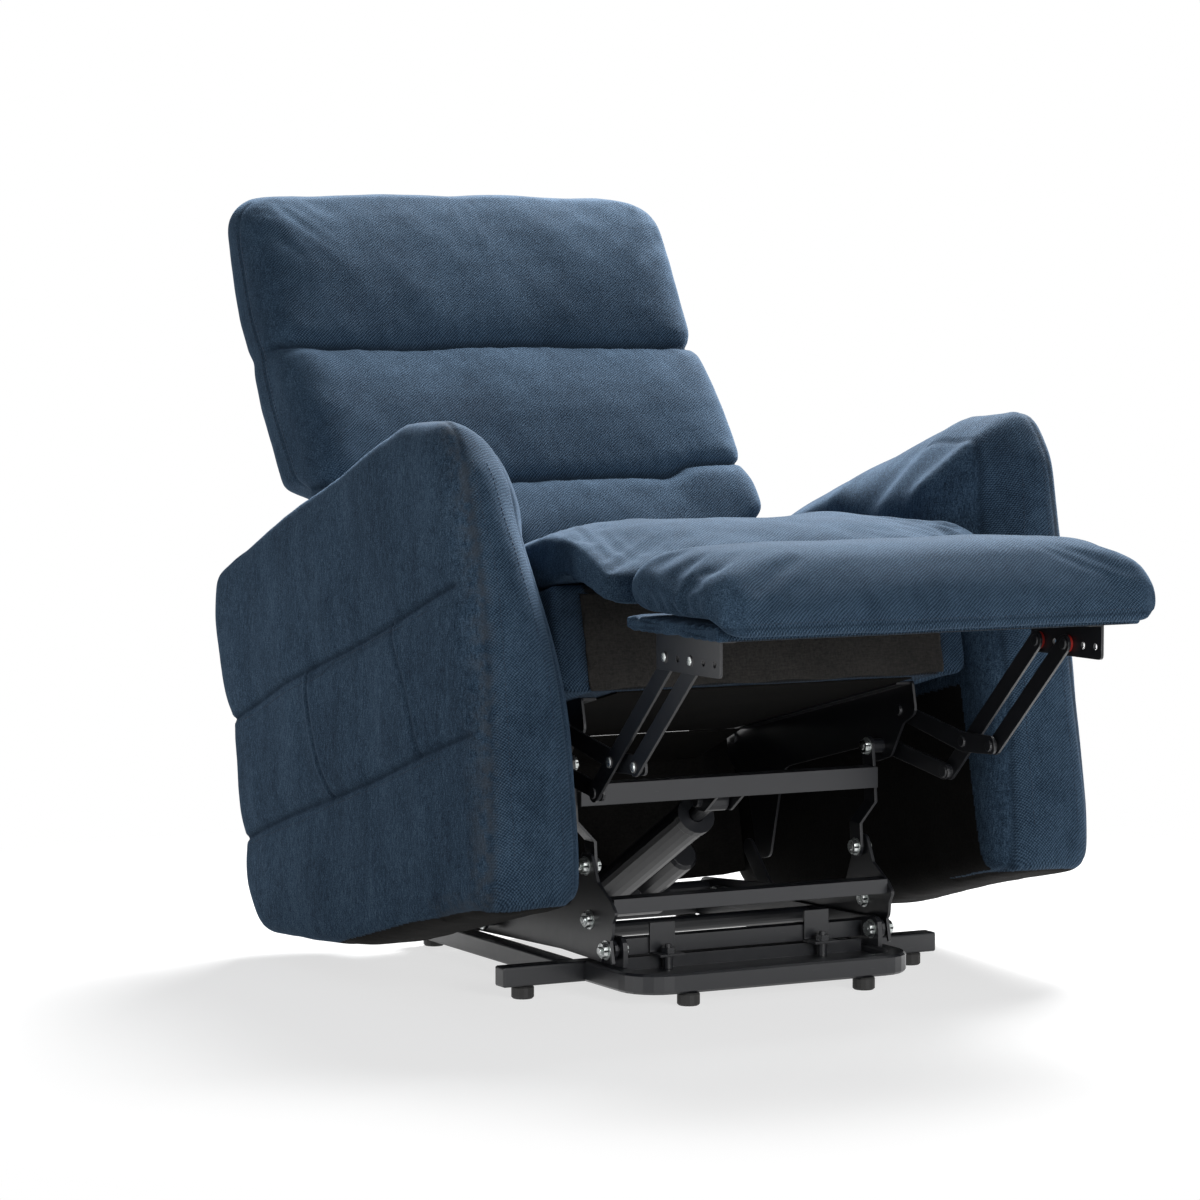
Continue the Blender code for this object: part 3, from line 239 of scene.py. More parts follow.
def tube_faces(rings: int, count: int) -> Array:
    """Quads that skin rings of count points, each ring closed on itself.

    Args:
        rings: how many rings there are.
        count: how many points each ring has.

    Returns:
        An array of four vertex numbers for each quad.
    """
    i, j = np.meshgrid(np.arange(rings - 1), np.arange(count), indexing="ij")
    k = (j + 1) % count
    return np.stack([i * count + j, i * count + k, (i + 1) * count + k, (i + 1) * count + j],
                    -1).reshape(-1, 4)


def boxed_rings(half: Array, depth: Array, front_round: float | Array, rear_round: float | Array
                ) -> tuple[Array, Array]:
    """Level sections: rectangles with quarter-ellipse corners, the front edge at depth 0.

    Args:
        half: half width of each section.
        depth: front-to-rear size of each section.
        front_round: corner radius in front, one or one for each section, at most 0.6 of the depth.
        rear_round: corner radius behind, one or one for each section, at most 0.38 of the depth.

    Returns:
        X and depth of the points, one row for each section, counted from the left rear corner.
    """
    quarter = np.linspace(0, math.pi / 2, 12)
    run, wide = np.linspace(0, 1, 14)[1:-1], np.linspace(-1, 1, 110)[1:-1]
    h, d = half[:, None], depth[:, None]
    front_round, rear_round = (np.broadcast_to(size, half.shape)[:, None]
                               for size in (front_round, rear_round))
    front, rear = np.minimum(front_round, 0.6 * d), np.minimum(rear_round, 0.38 * d)
    draw, sink = 1 - np.cos(quarter), 1 - np.sin(quarter)
    parts = ((-h, d - rear - run * (d - rear - front)),
             (-h + front_round * draw, front * sink), (wide * (h - front_round), 0 * wide),
             (h - front_round * draw[::-1], front * sink[::-1]), (h, front + run * (d - rear - front)),
             (h - rear_round * draw, d - rear * sink), (wide[::-1] * (h - rear_round), d),
             (-h + rear_round * draw[::-1], d - rear * sink[::-1]))
    sizes = (run, quarter, wide, quarter, run, quarter, wide, quarter)
    return tuple(np.concatenate([np.broadcast_to(part[k], (len(half), len(size)))
                                 for part, size in zip(parts, sizes)], 1) for k in (0, 1))


def closed_loft(rings: Array) -> Surface:
    """Skin rings and close both ends with a fan on the last ring's middle.

    Args:
        rings: (rings, count, 3) points.

    Returns:
        Vertices and faces, turned so that they face outwards.
    """
    number, count = rings.shape[:2]
    vertices = np.vstack([rings.reshape(-1, 3), rings[0].mean(0), rings[-1].mean(0)])
    quads = tube_faces(number, count)
    j = np.arange(count)
    k = (j + 1) % count
    first, last = number * count, number * count + 1
    fans = np.vstack([np.stack([k, j, np.full(count, first)], 1),
                      np.stack([(number - 1) * count + j, (number - 1) * count + k,
                                np.full(count, last)], 1)])
    corners = vertices[quads]
    volume = np.einsum("ij,ij->", corners.mean(1), np.cross(corners[:, 2] - corners[:, 0],
                                                            corners[:, 3] - corners[:, 1]))
    faces = quads.tolist() + fans.tolist()
    if volume < 0:
        faces = [face[::-1] for face in faces]
    return vertices, faces


def joined(parts: Sequence[Surface]) -> Surface:
    """Put several vertex and face lists together, each face shifted by the vertices before it.

    Args:
        parts: pairs of vertices and faces.

    Returns:
        Vertices and faces of all the parts.
    """
    starts = np.cumsum([0] + [len(vertices) for vertices, _ in parts]).tolist()
    faces = [[v + start for v in face] for start, (_, some) in zip(starts, parts) for face in some]
    return np.vstack([vertices for vertices, _ in parts]), faces


def new_piece(name: str, vertices: Array, faces: list[list[int]], shaded_smooth: bool = True
              ) -> Piece:
    """Put arrays into a mesh and link it as an object at the origin.

    Args:
        name: the name of the mesh and of the object.
        vertices: (n, 3) places in the row frame.
        faces: the vertex numbers of each face.
        shaded_smooth: whether its faces are shaded as one surface.

    Returns:
        The new object.
    """
    mesh = bpy.data.meshes.new(name)
    mesh.from_pydata(np.asarray(vertices).tolist(), [], faces)
    mesh.update()
    if shaded_smooth:
        mesh.shade_smooth()
    piece = bpy.data.objects.new(name, mesh)
    bpy.context.scene.collection.objects.link(piece)
    return piece


def vectors(items: Any, name: str) -> Array:
    """Read one vector from each item of a mesh collection.

    Args:
        items: the mesh's vertices or its vertex normals.
        name: the property that holds the vector.

    Returns:
        An (n, 3) array.
    """
    flat = np.empty(len(items) * 3, np.float32)
    items.foreach_get(name, flat)
    return flat.reshape(-1, 3).astype(float)


def coordinates(mesh: bpy.types.Mesh) -> Array:
    """The mesh's vertex places as an (n, 3) array."""
    return vectors(mesh.vertices, "co")


def normals(mesh: bpy.types.Mesh) -> Array:
    """The mesh's vertex normals as an (n, 3) array."""
    return vectors(mesh.vertex_normals, "vector")


def move_to(mesh: bpy.types.Mesh, points: Array) -> None:
    """Write vertex places back into the mesh."""
    mesh.vertices.foreach_set("co", np.asarray(points, np.float32).ravel())
    mesh.update()


def mark(piece: Piece, name: str, values: Array) -> None:
    """Store one number for each vertex as an attribute that a finish reads."""
    found = piece.data.attributes.get(name) or piece.data.attributes.new(name, "FLOAT", "POINT")
    found.data.foreach_set("value", np.asarray(values, np.float32))


def bake_modifiers(piece: Piece) -> None:
    """Replace the mesh by its evaluated form and drop the modifiers.

    Args:
        piece: the object whose modifiers are applied.
    """
    evaluated = piece.evaluated_get(bpy.context.evaluated_depsgraph_get())
    mesh = bpy.data.meshes.new_from_object(evaluated)
    piece.modifiers.clear()
    piece.data = mesh


def relax(piece: Piece, rounds: int, share: float = 0.5) -> None:
    """Move each vertex towards the mean of its neighbours, a few times over.

    Args:
        piece: the object whose mesh is evened.
        rounds: how many times.
        share: how far a vertex goes towards its neighbours' mean each time.
    """
    mesh = piece.data
    edges = np.empty(len(mesh.edges) * 2, np.int64)
    mesh.edges.foreach_get("vertices", edges)
    a, b = edges.reshape(-1, 2).T
    points = coordinates(mesh)
    degree = np.bincount(np.concatenate([a, b]), minlength=len(points))[:, None]
    for _ in range(rounds):
        total = np.stack([np.bincount(a, points[b, k], len(points))
                          + np.bincount(b, points[a, k], len(points)) for k in range(3)], 1)
        points += share * (total / degree - points)
    move_to(mesh, points)


def even_mesh(piece: Piece, voxel: float, rounds: int) -> None:
    """Rebuild the piece from even quads of about one voxel and relax them.

    Args:
        piece: a closed piece.
        voxel: the size of the quads.
        rounds: how many times they are relaxed.
    """
    remesh = piece.modifiers.new("voxels", "REMESH")
    remesh.mode = "VOXEL"
    remesh.voxel_size = voxel
    bake_modifiers(piece)
    relax(piece, rounds)


def refine(piece: Piece) -> None:
    """Add one applied subdivision.

    Args:
        piece: the object that is subdivided.
    """
    surface = piece.modifiers.new("surface", "SUBSURF")
    surface.levels = surface.render_levels = 1
    bake_modifiers(piece)
    piece.data.shade_smooth()


@dataclass(frozen=True)
class Stuffing:
    """How a sewn cover is filled: voxel remesh, then cloth blown up by an even pressure."""

    voxel: float = 0.006
    pressure: float = 4.0
    reach: float = 0.022
    frames: int = 20
    relax_rounds: int = 3

    def fill(self, piece: Piece, held: Callable[[Array], Array]) -> None:
        """Remesh the piece, blow it up and cap how far each vertex may move.

        Args:
            piece: the sewn cover as a closed mesh.
            held: gives, for vertex places, which ones stay where they are.
        """
        even_mesh(piece, self.voxel, self.relax_rounds)
        self.blow_up(piece, held)
        relax(piece, 1)
        refine(piece)

    def blow_up(self, piece: Piece, held: Callable[[Array], Array]) -> None:
        """Run the cloth for its frames; each move is capped smoothly by reach.

        A move of length l becomes reach times the hyperbolic tangent of l over reach.

        Args:
            piece: the cover after its remesh.
            held: gives, for vertex places, which ones stay where they are.
        """
        rest = coordinates(piece.data)
        group = piece.vertex_groups.new(name="held")
        group.add(np.nonzero(held(rest))[0].tolist(), 1.0, "REPLACE")
        cloth = piece.modifiers.new("cloth", "CLOTH")
        settings = cloth.settings
        settings.quality = 4
        settings.mass = 0.4
        settings.tension_stiffness = settings.compression_stiffness = 18.0
        settings.shear_stiffness = 8.0
        settings.bending_stiffness = 0.6
        settings.use_pressure = True
        settings.uniform_pressure_force = self.pressure
        settings.effector_weights.gravity = 0.0
        settings.vertex_group_mass = "held"
        cloth.collision_settings.use_collision = False
        cloth.point_cache.frame_end = self.frames
        scene = bpy.context.scene
        for step in range(1, self.frames + 1):
            scene.frame_set(step)
        evaluated = piece.evaluated_get(bpy.context.evaluated_depsgraph_get())
        blown = coordinates(evaluated.data)
        piece.modifiers.clear()
        piece.vertex_groups.clear()
        scene.frame_set(1)
        move = blown - rest
        length = np.maximum(np.linalg.norm(move, axis=1), 1e-9)[:, None]
        move_to(piece.data, rest + move / length * self.reach * np.tanh(length / self.reach))
        LOG.info("%s filled, mean move %.1f mm", piece.name, 1000 * float(length.mean()))


# --- shader graphs ---
Value = Any


class Field:
    """A shader socket that takes part in arithmetic, each step as one Math node."""

    def __init__(self, graph: "Graph", socket: bpy.types.NodeSocket) -> None:
        """Wrap one output socket of the graph."""
        self.graph, self.socket = graph, socket

    def math(self, operation: str, *others: Value) -> "Field":
        """One Math node of this socket and others.

        Args:
            operation: the node's operation.
            others: its other inputs, plain values or fields.

        Returns:
            The node's output.
        """
        inputs = {0: self, **{k + 1: other for k, other in enumerate(others)}}
        return self.graph.out("ShaderNodeMath", {"operation": operation}, inputs)

    def __add__(self, other: Value) -> "Field":
        """Sum."""
        return self.math("ADD", other)

    __radd__ = __add__

    def __mul__(self, other: Value) -> "Field":
        """Product."""
        return self.math("MULTIPLY", other)

    __rmul__ = __mul__

    def __sub__(self, other: Value) -> "Field":
        """Difference."""
        return self.math("SUBTRACT", other)

    def __rsub__(self, other: Value) -> "Field":
        """Difference, reflected."""
        return (self * -1.0) + other

    def wave(self) -> "Field":
        """A wave from 0 to 1, once for each whole step of the socket's value."""
        return (self * (2 * math.pi)).math("SINE") * 0.5 + 0.5

    def clamp(self, low: float, high: float) -> "Field":
        """The value's place between low and high, eased, from 0 to 1.

        Args:
            low: the value that gives 0.
            high: the value that gives 1.

        Returns:
            The eased share.
        """
        return self.graph.out("ShaderNodeMapRange", {"interpolation_type": "SMOOTHSTEP"},
                              {0: self, 1: low, 2: high, 3: 0.0, 4: 1.0})


class Graph:
    """The node tree of one material or of the world."""

    def __init__(self, owner: Any, output: str = "ShaderNodeOutputMaterial") -> None:
        """Start an empty tree with its output node.

        Args:
            owner: the material or world that the tree belongs to.
            output: the type of its output node.
        """
        owner.use_nodes = True
        self.owner = owner
        self.tree = owner.node_tree
        self.tree.nodes.clear()
        self.output = self.node(output)

    @cached_property
    def place(self) -> Field:
        """Object coordinates."""
        return Field(self, self.node("ShaderNodeTexCoord").outputs["Object"])

    def node(self, kind: str, settings: Optional[dict[str, Any]] = None,
             inputs: Optional[dict[Any, Value]] = None) -> bpy.types.Node:
        """Add a node, set its options first and then its sockets.

        Args:
            kind: the node's type.
            settings: attributes to set; stops are (position, colour) pairs of a ramp.
            inputs: socket name or number, with a plain value or a Field to link.

        Returns:
            The node.
        """
        made = self.tree.nodes.new(kind)
        for key, value in (settings or {}).items():
            if key == "stops":
                ramp = made.color_ramp
                while len(ramp.elements) < len(value):
                    ramp.elements.new(0.5)
                for element, (position, colour) in zip(ramp.elements, value):
                    element.position, element.color = position, (*colour, 1.0)
            else:
                setattr(made, key, value)
        for key, value in (inputs or {}).items():
            if isinstance(value, Field):
                self.tree.links.new(value.socket, made.inputs[key])
            else:
                made.inputs[key].default_value = value
        return made

    def out(self, kind: str, settings: Optional[dict[str, Any]] = None,
            inputs: Optional[dict[Any, Value]] = None, output: Any = 0) -> Field:
        """Add a node and wrap one of its outputs.

        Args:
            kind: the node's type.
            settings: attributes to set, as for node.
            inputs: sockets to fill, as for node.
            output: name or number of the output.

        Returns:
            The output.
        """
        return Field(self, self.node(kind, settings, inputs).outputs[output])

    def noise(self, scale: float, detail: float = 2.0, place: Optional[Field] = None,
              rough: float = 0.5) -> Field:
        """Noise of a scale, in waves to the metre.

        Args:
            scale: waves to the metre.
            detail: how many finer layers are added.
            place: coordinates, or none for object coordinates.
            rough: how strong the finer layers are.

        Returns:
            The noise, about 0 to 1.
        """
        return self.out("ShaderNodeTexNoise", None, {"Vector": place or self.place, "Scale": scale,
                                                     "Detail": detail, "Roughness": rough})

    def stretched(self, sizes: tuple[float, float, float]) -> Field:
        """Object coordinates times a size along each axis.

        Args:
            sizes: the factor of each axis.

        Returns:
            The stretched coordinates.
        """
        return self.out("ShaderNodeVectorMath", {"operation": "MULTIPLY"},
                        {0: self.place, 1: sizes})

    def along(self, direction: tuple[float, float, float], pitch: float) -> Field:
        """Distance along a direction, counted in pitches.

        Args:
            direction: the way in which it grows, of any length.
            pitch: the length of one step.

        Returns:
            The dot product of the place with the unit direction, over the pitch.
        """
        way = Vector(direction).normalized() / pitch
        return self.out("ShaderNodeVectorMath", {"operation": "DOT_PRODUCT"},
                        {0: self.place, 1: tuple(way)}, "Value")

    def attribute(self, name: str) -> Field:
        """A number stored on the piece's vertices."""
        return self.out("ShaderNodeAttribute", {"attribute_name": name}, None, "Fac")

    def mix(self, share: Value, first: Value, second: Value) -> Field:
        """Mix two colours by a share.

        Args:
            share: how much of the second colour, 0 to 1.
            first: a colour or a field.
            second: a colour or a field.

        Returns:
            The mixed colour.
        """
        first = first if isinstance(first, Field) else (*first, 1.0)
        second = second if isinstance(second, Field) else (*second, 1.0)
        return self.out("ShaderNodeMix", {"data_type": "RGBA"},
                        {0: share, 6: first, 7: second}, 2)

    def bump(self, height: Field, distance: float, strength: float,
             normal: Optional[Field] = None) -> Field:
        """A Bump node on a height.

        Args:
            height: the height, 0 to 1.
            distance: how far a height of 1 stands out, in metres.
            strength: how much of the bump is used.
            normal: the normal that it starts from, or none for the surface's own.

        Returns:
            The bumped normal.
        """
        inputs: dict[Any, Value] = {"Strength": strength, "Distance": distance, "Height": height}
        if normal:
            inputs["Normal"] = normal
        return self.out("ShaderNodeBump", None, inputs)

    def principled(self, **sockets: Value) -> Material:
        """Close the graph with a Principled shader.

        Args:
            sockets: socket names with underscores for spaces, and their values.

        Returns:
            The finished material.
        """
        inputs = {name.replace("_", " "): value for name, value in sockets.items()}
        return self.close(self.out("ShaderNodeBsdfPrincipled", None, inputs))

    def seen(self) -> Field:
        """Tell what is seen from what lights.

        Returns:
            1 for rays of the camera, of reflections and through clear things, and 0 for others.
        """
        rays = self.node("ShaderNodeLightPath").outputs
        return Field(self, rays["Is Camera Ray"]) + Field(self, rays["Is Glossy Ray"]) \
            + Field(self, rays["Is Transmission Ray"])

    def close(self, shader: Field) -> Any:
        """Link the last shader to the output and return the material or world.

        Args:
            shader: the shader that the output shows.

        Returns:
            The material or world that the tree belongs to.
        """
        self.tree.links.new(shader.socket, self.output.inputs["Surface"])
        return self.owner


def dress(piece: Piece, material: Material) -> None:
    """Give the piece one material."""
    piece.data.materials.clear()
    piece.data.materials.append(material)


# --- finishes ---
@dataclass(frozen=True)
class ClothFinish:
    """Blue upholstery cloth: twill ribs of twisted yarn under a short brushed pile.

    rib is how far the diagonal ribs show, and pile how far the brushed streaks do. streak gives
    the pile's direction as a stretch of the noise along each axis.
    """

    name: str
    rib: float
    pile: float
    deep: Colour = (0.0070, 0.0155, 0.0290)
    middle: Colour = (0.0320, 0.0610, 0.1010)
    bright: Colour = (0.0860, 0.1430, 0.2150)
    rim_grey: Colour = (0.0560, 0.0620, 0.0700)
    pitch: float = 0.0030
    streak: tuple[float, float, float] = (430.0, 430.0, 110.0)

    def material(self) -> Material:
        """Build the nodes: ribs, yarn specks, streaks and slow shade bands make the colour.

        Returns:
            The material, which also reads the attributes seam, whose darkening is painted shade in the
            seams and creases, ply, lint and dark of the piece.
        """
        g = Graph(bpy.data.materials.new(self.name))
        wobble = g.noise(46.0, 2.0) * 1.5
        rib = (g.along((1.0, -0.9, -1.0), self.pitch) + wobble).wave()
        yarn = (g.along((1.0, 0.8, 0.9), self.pitch * 0.72) + wobble * 1.2).wave()
        speck = g.noise(700.0, 2.0, rough=0.70)
        fibre = g.noise(1.0, 3.0, g.stretched(self.streak), 0.65)
        brush = g.noise(1.0, 3.0, g.stretched(tuple(size / 12 for size in self.streak)), 0.6)
        blotch = g.noise(7.0, 3.0, rough=0.55)
        fine = g.noise(60.0, 3.0, rough=0.6)
        ply = g.attribute("ply")
        twill = ply * self.rib
        weave = rib * 0.55 + yarn * 0.45
        tone = (weave - 0.5) * twill * 0.95 + (speck - 0.5) * (2.1 - twill * 0.7)
        tone = tone + (fibre - 0.5) * ((1.3 - ply) * self.pile * 1.1) + (brush - 0.5) * 0.55 * self.pile
        tone = tone + (blotch - 0.5) * 0.50 + (fine - 0.5) * 0.35 + 0.48
        colour = g.out("ShaderNodeValToRGB", {"stops": (
            (0.06, self.deep), (0.50, self.middle), (1.0, self.bright))}, {0: tone})
        # Painted shade: seams and creases darken towards the deep blue, as if shadowed in their grooves.
        colour = g.mix(g.attribute("seam") * 0.80, colour, self.deep)
        # The colour turns greyer in a strip beside the arm's front band.
        lint = g.attribute("lint") * (fine.clamp(0.35, 0.62) * 0.55)
        colour = g.mix(lint, colour, self.rim_grey)
        felt = g.mix(speck, (0.0070, 0.0068, 0.0066), (0.0260, 0.0245, 0.0230))
        colour = g.mix(g.attribute("dark"), colour, felt)
        height = weave * twill * 0.8 + speck * 0.7 + fibre * self.pile * 0.25
        return g.principled(Base_Color=colour, Roughness=0.95, Normal=g.bump(height, 0.0011, 0.6),
                            Sheen_Weight=0.26, Sheen_Roughness=0.38,
                            Sheen_Tint=(0.34, 0.54, 0.82, 1.0), Specular_IOR_Level=0.15)


@dataclass(frozen=True)
class FeltFinish:
    """Black spun dust cloth with pressed dots and loose fibres."""

    name: str = "spun_felt"
    low: Colour = (0.0080, 0.0076, 0.0072)
    high: Colour = (0.0480, 0.0440, 0.0400)
    sheen: float = 0.06
    shine: float = 0.3

    def material(self) -> Material:
        """Build the nodes: stretched fibre noise and a slow sag tone.

        Returns:
            The material.
        """
        g = Graph(bpy.data.materials.new(self.name))
        fibre = g.noise(1.0, 4.0, g.stretched((420.0, 420.0, 160.0)), 0.7)
        cross = g.noise(1.0, 3.0, g.stretched((130.0, 300.0, 520.0)), 0.7)
        slow = g.noise(14.0, 2.0)
        tone = ((fibre * 0.5 + cross * 0.5 - 0.5) * 1.7 + slow * 0.5 + 0.25).clamp(0.05, 0.95)
        return g.principled(Base_Color=g.mix(tone, self.low, self.high), Roughness=0.88,
                            Normal=g.bump(fibre + cross, 0.0009, 0.5), Sheen_Weight=self.sheen,
                            Specular_IOR_Level=self.shine)


@dataclass(frozen=True)
class PaintFinish:
    """Black paint on steel: orange peel, dust and bare bright wear along the edges."""

    name: str
    colour: Colour = (0.0085, 0.0094, 0.0120)
    worn: Colour = (0.16, 0.16, 0.165)
    roughness: float = 0.34
    wear: float = 0.55
    radius: float = 0.0011

    def material(self) -> Material:
        """Build the nodes: a Bevel node finds the edges, and noise breaks the wear up.

        Returns:
            The material.
        """
        g = Graph(bpy.data.materials.new(self.name))
        peel = g.noise(900.0, 2.0)
        scuff = g.noise(70.0, 4.0, rough=0.65)
        dust = g.noise(16.0, 3.0)
        soft = g.out("ShaderNodeBevel", {"samples": 4}, {"Radius": self.radius})
        flat = g.out("ShaderNodeNewGeometry", None, None, "Normal")
        facing = g.out("ShaderNodeVectorMath", {"operation": "DOT_PRODUCT"}, {0: soft, 1: flat},
                       "Value")
        edge = (1.0 - facing).clamp(0.015, 0.16) * scuff.clamp(0.36, 0.60) * self.wear
        scratch = g.noise(1.0, 2.0, g.stretched((35.0, 420.0, 420.0)), 0.7).clamp(0.66, 0.74) * 0.10
        bare = edge.math("MAXIMUM", scratch)
        colour = g.mix(dust * 0.5, self.colour, tuple(c * 1.9 for c in self.colour))
        colour = g.mix(bare, colour, self.worn)
        rough = scuff * 0.16 + (self.roughness - 0.08) + dust * 0.06
        return g.principled(Base_Color=colour, Roughness=rough, Metallic=bare * 0.8,
                            Normal=g.bump(peel, 0.0003, 0.18, soft), Coat_Weight=0.25,
                            Coat_Roughness=0.25)


@dataclass(frozen=True)
class MetalFinish:
    """Bare or plated metal with faint turning marks and stains."""

    name: str
    colour: Colour
    stain: Colour
    roughness: float = 0.26

    def material(self) -> Material:
        """Build the nodes: stains mix the colour and roughen the surface.

        Returns:
            The material.
        """
        g = Graph(bpy.data.materials.new(self.name))
        stain = g.noise(260.0, 3.0, rough=0.6).clamp(0.38, 0.70)
        marks = g.noise(1.0, 2.0, g.stretched((1500.0, 240.0, 240.0)))
        colour = g.mix(stain, self.colour, self.stain)
        return g.principled(Base_Color=colour, Metallic=0.95, Normal=g.bump(marks, 0.0002, 0.25),
                            Roughness=stain * 0.22 + self.roughness)


@dataclass(frozen=True)
class MouldedFinish:
    """Moulded rubber or plastic: one colour with fine grain and scuffs."""

    name: str
    colour: Colour
    scuffed: Colour
    roughness: float = 0.6

    def material(self) -> Material:
        """Build the nodes: grain as bump, scuffs in colour and roughness.

        Returns:
            The material.
        """
        g = Graph(bpy.data.materials.new(self.name))
        scuff = g.noise(120.0, 4.0, rough=0.65).clamp(0.42, 0.72)
        grain = g.noise(1400.0, 2.0)
        return g.principled(Base_Color=g.mix(scuff, self.colour, self.scuffed),
                            Roughness=scuff * 0.15 + self.roughness,
                            Normal=g.bump(grain, 0.0002, 0.35))


@dataclass
class Finishes:
    """Every finish on the chair, each built once."""

    twill: Material = field(default_factory=ClothFinish("blue_twill", 1.0, 0.45).material)
    chenille: Material = field(default_factory=ClothFinish("blue_chenille", 0.85, 1.0).material)
    felt: Material = field(default_factory=FeltFinish().material)
    # Painted shade: a darker, sheen-free copy of the spun felt for cloth deep inside the frame, standing
    # in for its being unlit.
    painted_shade_felt: Material = field(default_factory=FeltFinish(
        "shade_darkened_felt", (0.0030, 0.0029, 0.0028), (0.0130, 0.0122, 0.0115), 0.0, 0.08).material)
    paint: Material = field(default_factory=PaintFinish("black_paint").material)
    bar_paint: Material = field(default_factory=PaintFinish(
        "bar_paint", wear=0.85, radius=0.0013).material)
    satin: Material = field(default_factory=PaintFinish(
        "satin_black", (0.0105, 0.0116, 0.0148), wear=0.6, roughness=0.36).material)
    zinc: Material = field(default_factory=MetalFinish(
        "zinc_plate", (0.66, 0.68, 0.68), (0.34, 0.38, 0.36)).material)
    washer: Material = field(default_factory=MouldedFinish(
        "red_nylon", (0.42, 0.020, 0.014), (0.20, 0.012, 0.010), 0.42).material)
    rubber: Material = field(default_factory=MouldedFinish(
        "black_rubber", (0.011, 0.011, 0.011), (0.030, 0.029, 0.028)).material)
    thread: Material = field(default_factory=MouldedFinish(
        "blue_thread", (0.010, 0.024, 0.050), (0.030, 0.065, 0.115), 0.7).material)


# --- sewn details ---
@dataclass(frozen=True)
class StitchRow:
    """A row of stitches: short spindles of thread along a path on the surface."""

    pitch: float = 0.0062
    length: float = 0.0044
    radius: float = 0.00055
    sides: int = 5

    def spindles(self, path: Array, out: Array) -> Surface:
        """Lay spindles along the path.

        Each spindle has its two tips on the path and one ring between them, raised by the
        radius; the ring is a circle in the plane across the path.

        Args:
            path: (n, 3) points along the seam.
            out: (n, 3) surface normals at those points.

        Returns:
            Vertices and faces of all the stitches.
        """
        reach = np.concatenate([[0.0], np.cumsum(np.linalg.norm(np.diff(path, axis=0), axis=1))])
        count = max(1, int(reach[-1] / self.pitch))
        at = (np.arange(count) + 0.5) * reach[-1] / count
        spot = np.stack([np.interp(at, reach, path[:, k]) for k in range(3)], 1)
        ahead = np.stack([np.interp(at + 1e-3, reach, path[:, k]) for k in range(3)], 1)
        behind = np.stack([np.interp(at - 1e-3, reach, path[:, k]) for k in range(3)], 1)
        up = np.stack([np.interp(at, reach, out[:, k]) for k in range(3)], 1)
        along = ahead - behind
        along /= np.maximum(np.linalg.norm(along, axis=1), 1e-9)[:, None]
        up -= along * np.sum(along * up, 1)[:, None]
        up /= np.maximum(np.linalg.norm(up, axis=1), 1e-9)[:, None]
        across = np.cross(along, up)
        turn = np.arange(self.sides) * 2 * math.pi / self.sides
        ring = (spot + up * self.radius * 0.6)[:, None] + self.radius * (
            np.cos(turn)[None, :, None] * across[:, None] + np.sin(turn)[None, :, None] * up[:, None])
        rings = [ring - along[:, None] * self.length * 0.22, ring + along[:, None] * self.length * 0.22]
        tips = [(spot - along * self.length / 2)[:, None], (spot + along * self.length / 2)[:, None]]
        vertices = np.concatenate([tips[0], *rings, tips[1]], 1)
        n = self.sides
        one = [[0, 1 + (k + 1) % n, 1 + k] for k in range(n)]
        one += [[1 + k, 1 + (k + 1) % n, 1 + n + (k + 1) % n, 1 + n + k] for k in range(n)]
        one += [[1 + n + k, 1 + n + (k + 1) % n, 1 + 2 * n] for k in range(n)]
        size = 2 + 2 * n
        faces = [[v + s * size for v in face] for s in range(count) for face in one]
        return vertices.reshape(-1, 3), faces


def surface_path(piece: Piece, points: Array) -> tuple[Array, Array]:
    """Drop points onto a piece's surface.

    Args:
        piece: the piece whose mesh is searched.
        points: (n, 3) places near the surface.

    Returns:
        The nearest surface points and the normals there.
    """
    places, outs = [], []
    for point in points:
        found, spot, normal, _ = piece.closest_point_on_mesh(Vector(point))
        places.append(spot if found else Vector(point))
        outs.append(normal if found else Vector((0, 0, 1)))
    return np.array(places), np.array(outs)


def ease_path(path: Array, rounds: int = 3) -> Array:
    """Even out small steps of a path, its ends held.

    Each round gives a point half of itself and a quarter of each neighbour.

    Args:
        path: (n, 3) points.
        rounds: how many times.

    Returns:
        The eased path.
    """
    for _ in range(rounds):
        path = np.vstack([path[:1], (path[:-2] + 2 * path[1:-1] + path[2:]) / 4, path[-1:]])
    return path


def sew(name: str, piece: Piece, paths: Sequence[Array], body: str,
        finishes: Finishes) -> None:
    """Sew rows of stitches on a piece along the given paths and let them ride on its body.

    Args:
        name: the name of the stitching.
        piece: the piece that is sewn.
        paths: one (n, 3) array of places near the surface for each row.
        body: the body that the stitching rides on.
        finishes: gives the thread.
    """
    row = StitchRow()
    parts = []
    for path in paths:
        on, out = surface_path(piece, path)
        parts.append(row.spindles(ease_path(on), out))
    vertices, faces = joined(parts)
    made = new_piece(name, vertices, faces)
    dress(made, finishes.thread)
    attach(made, body)
    LOG.info("%s: %d faces of thread", name, len(faces))


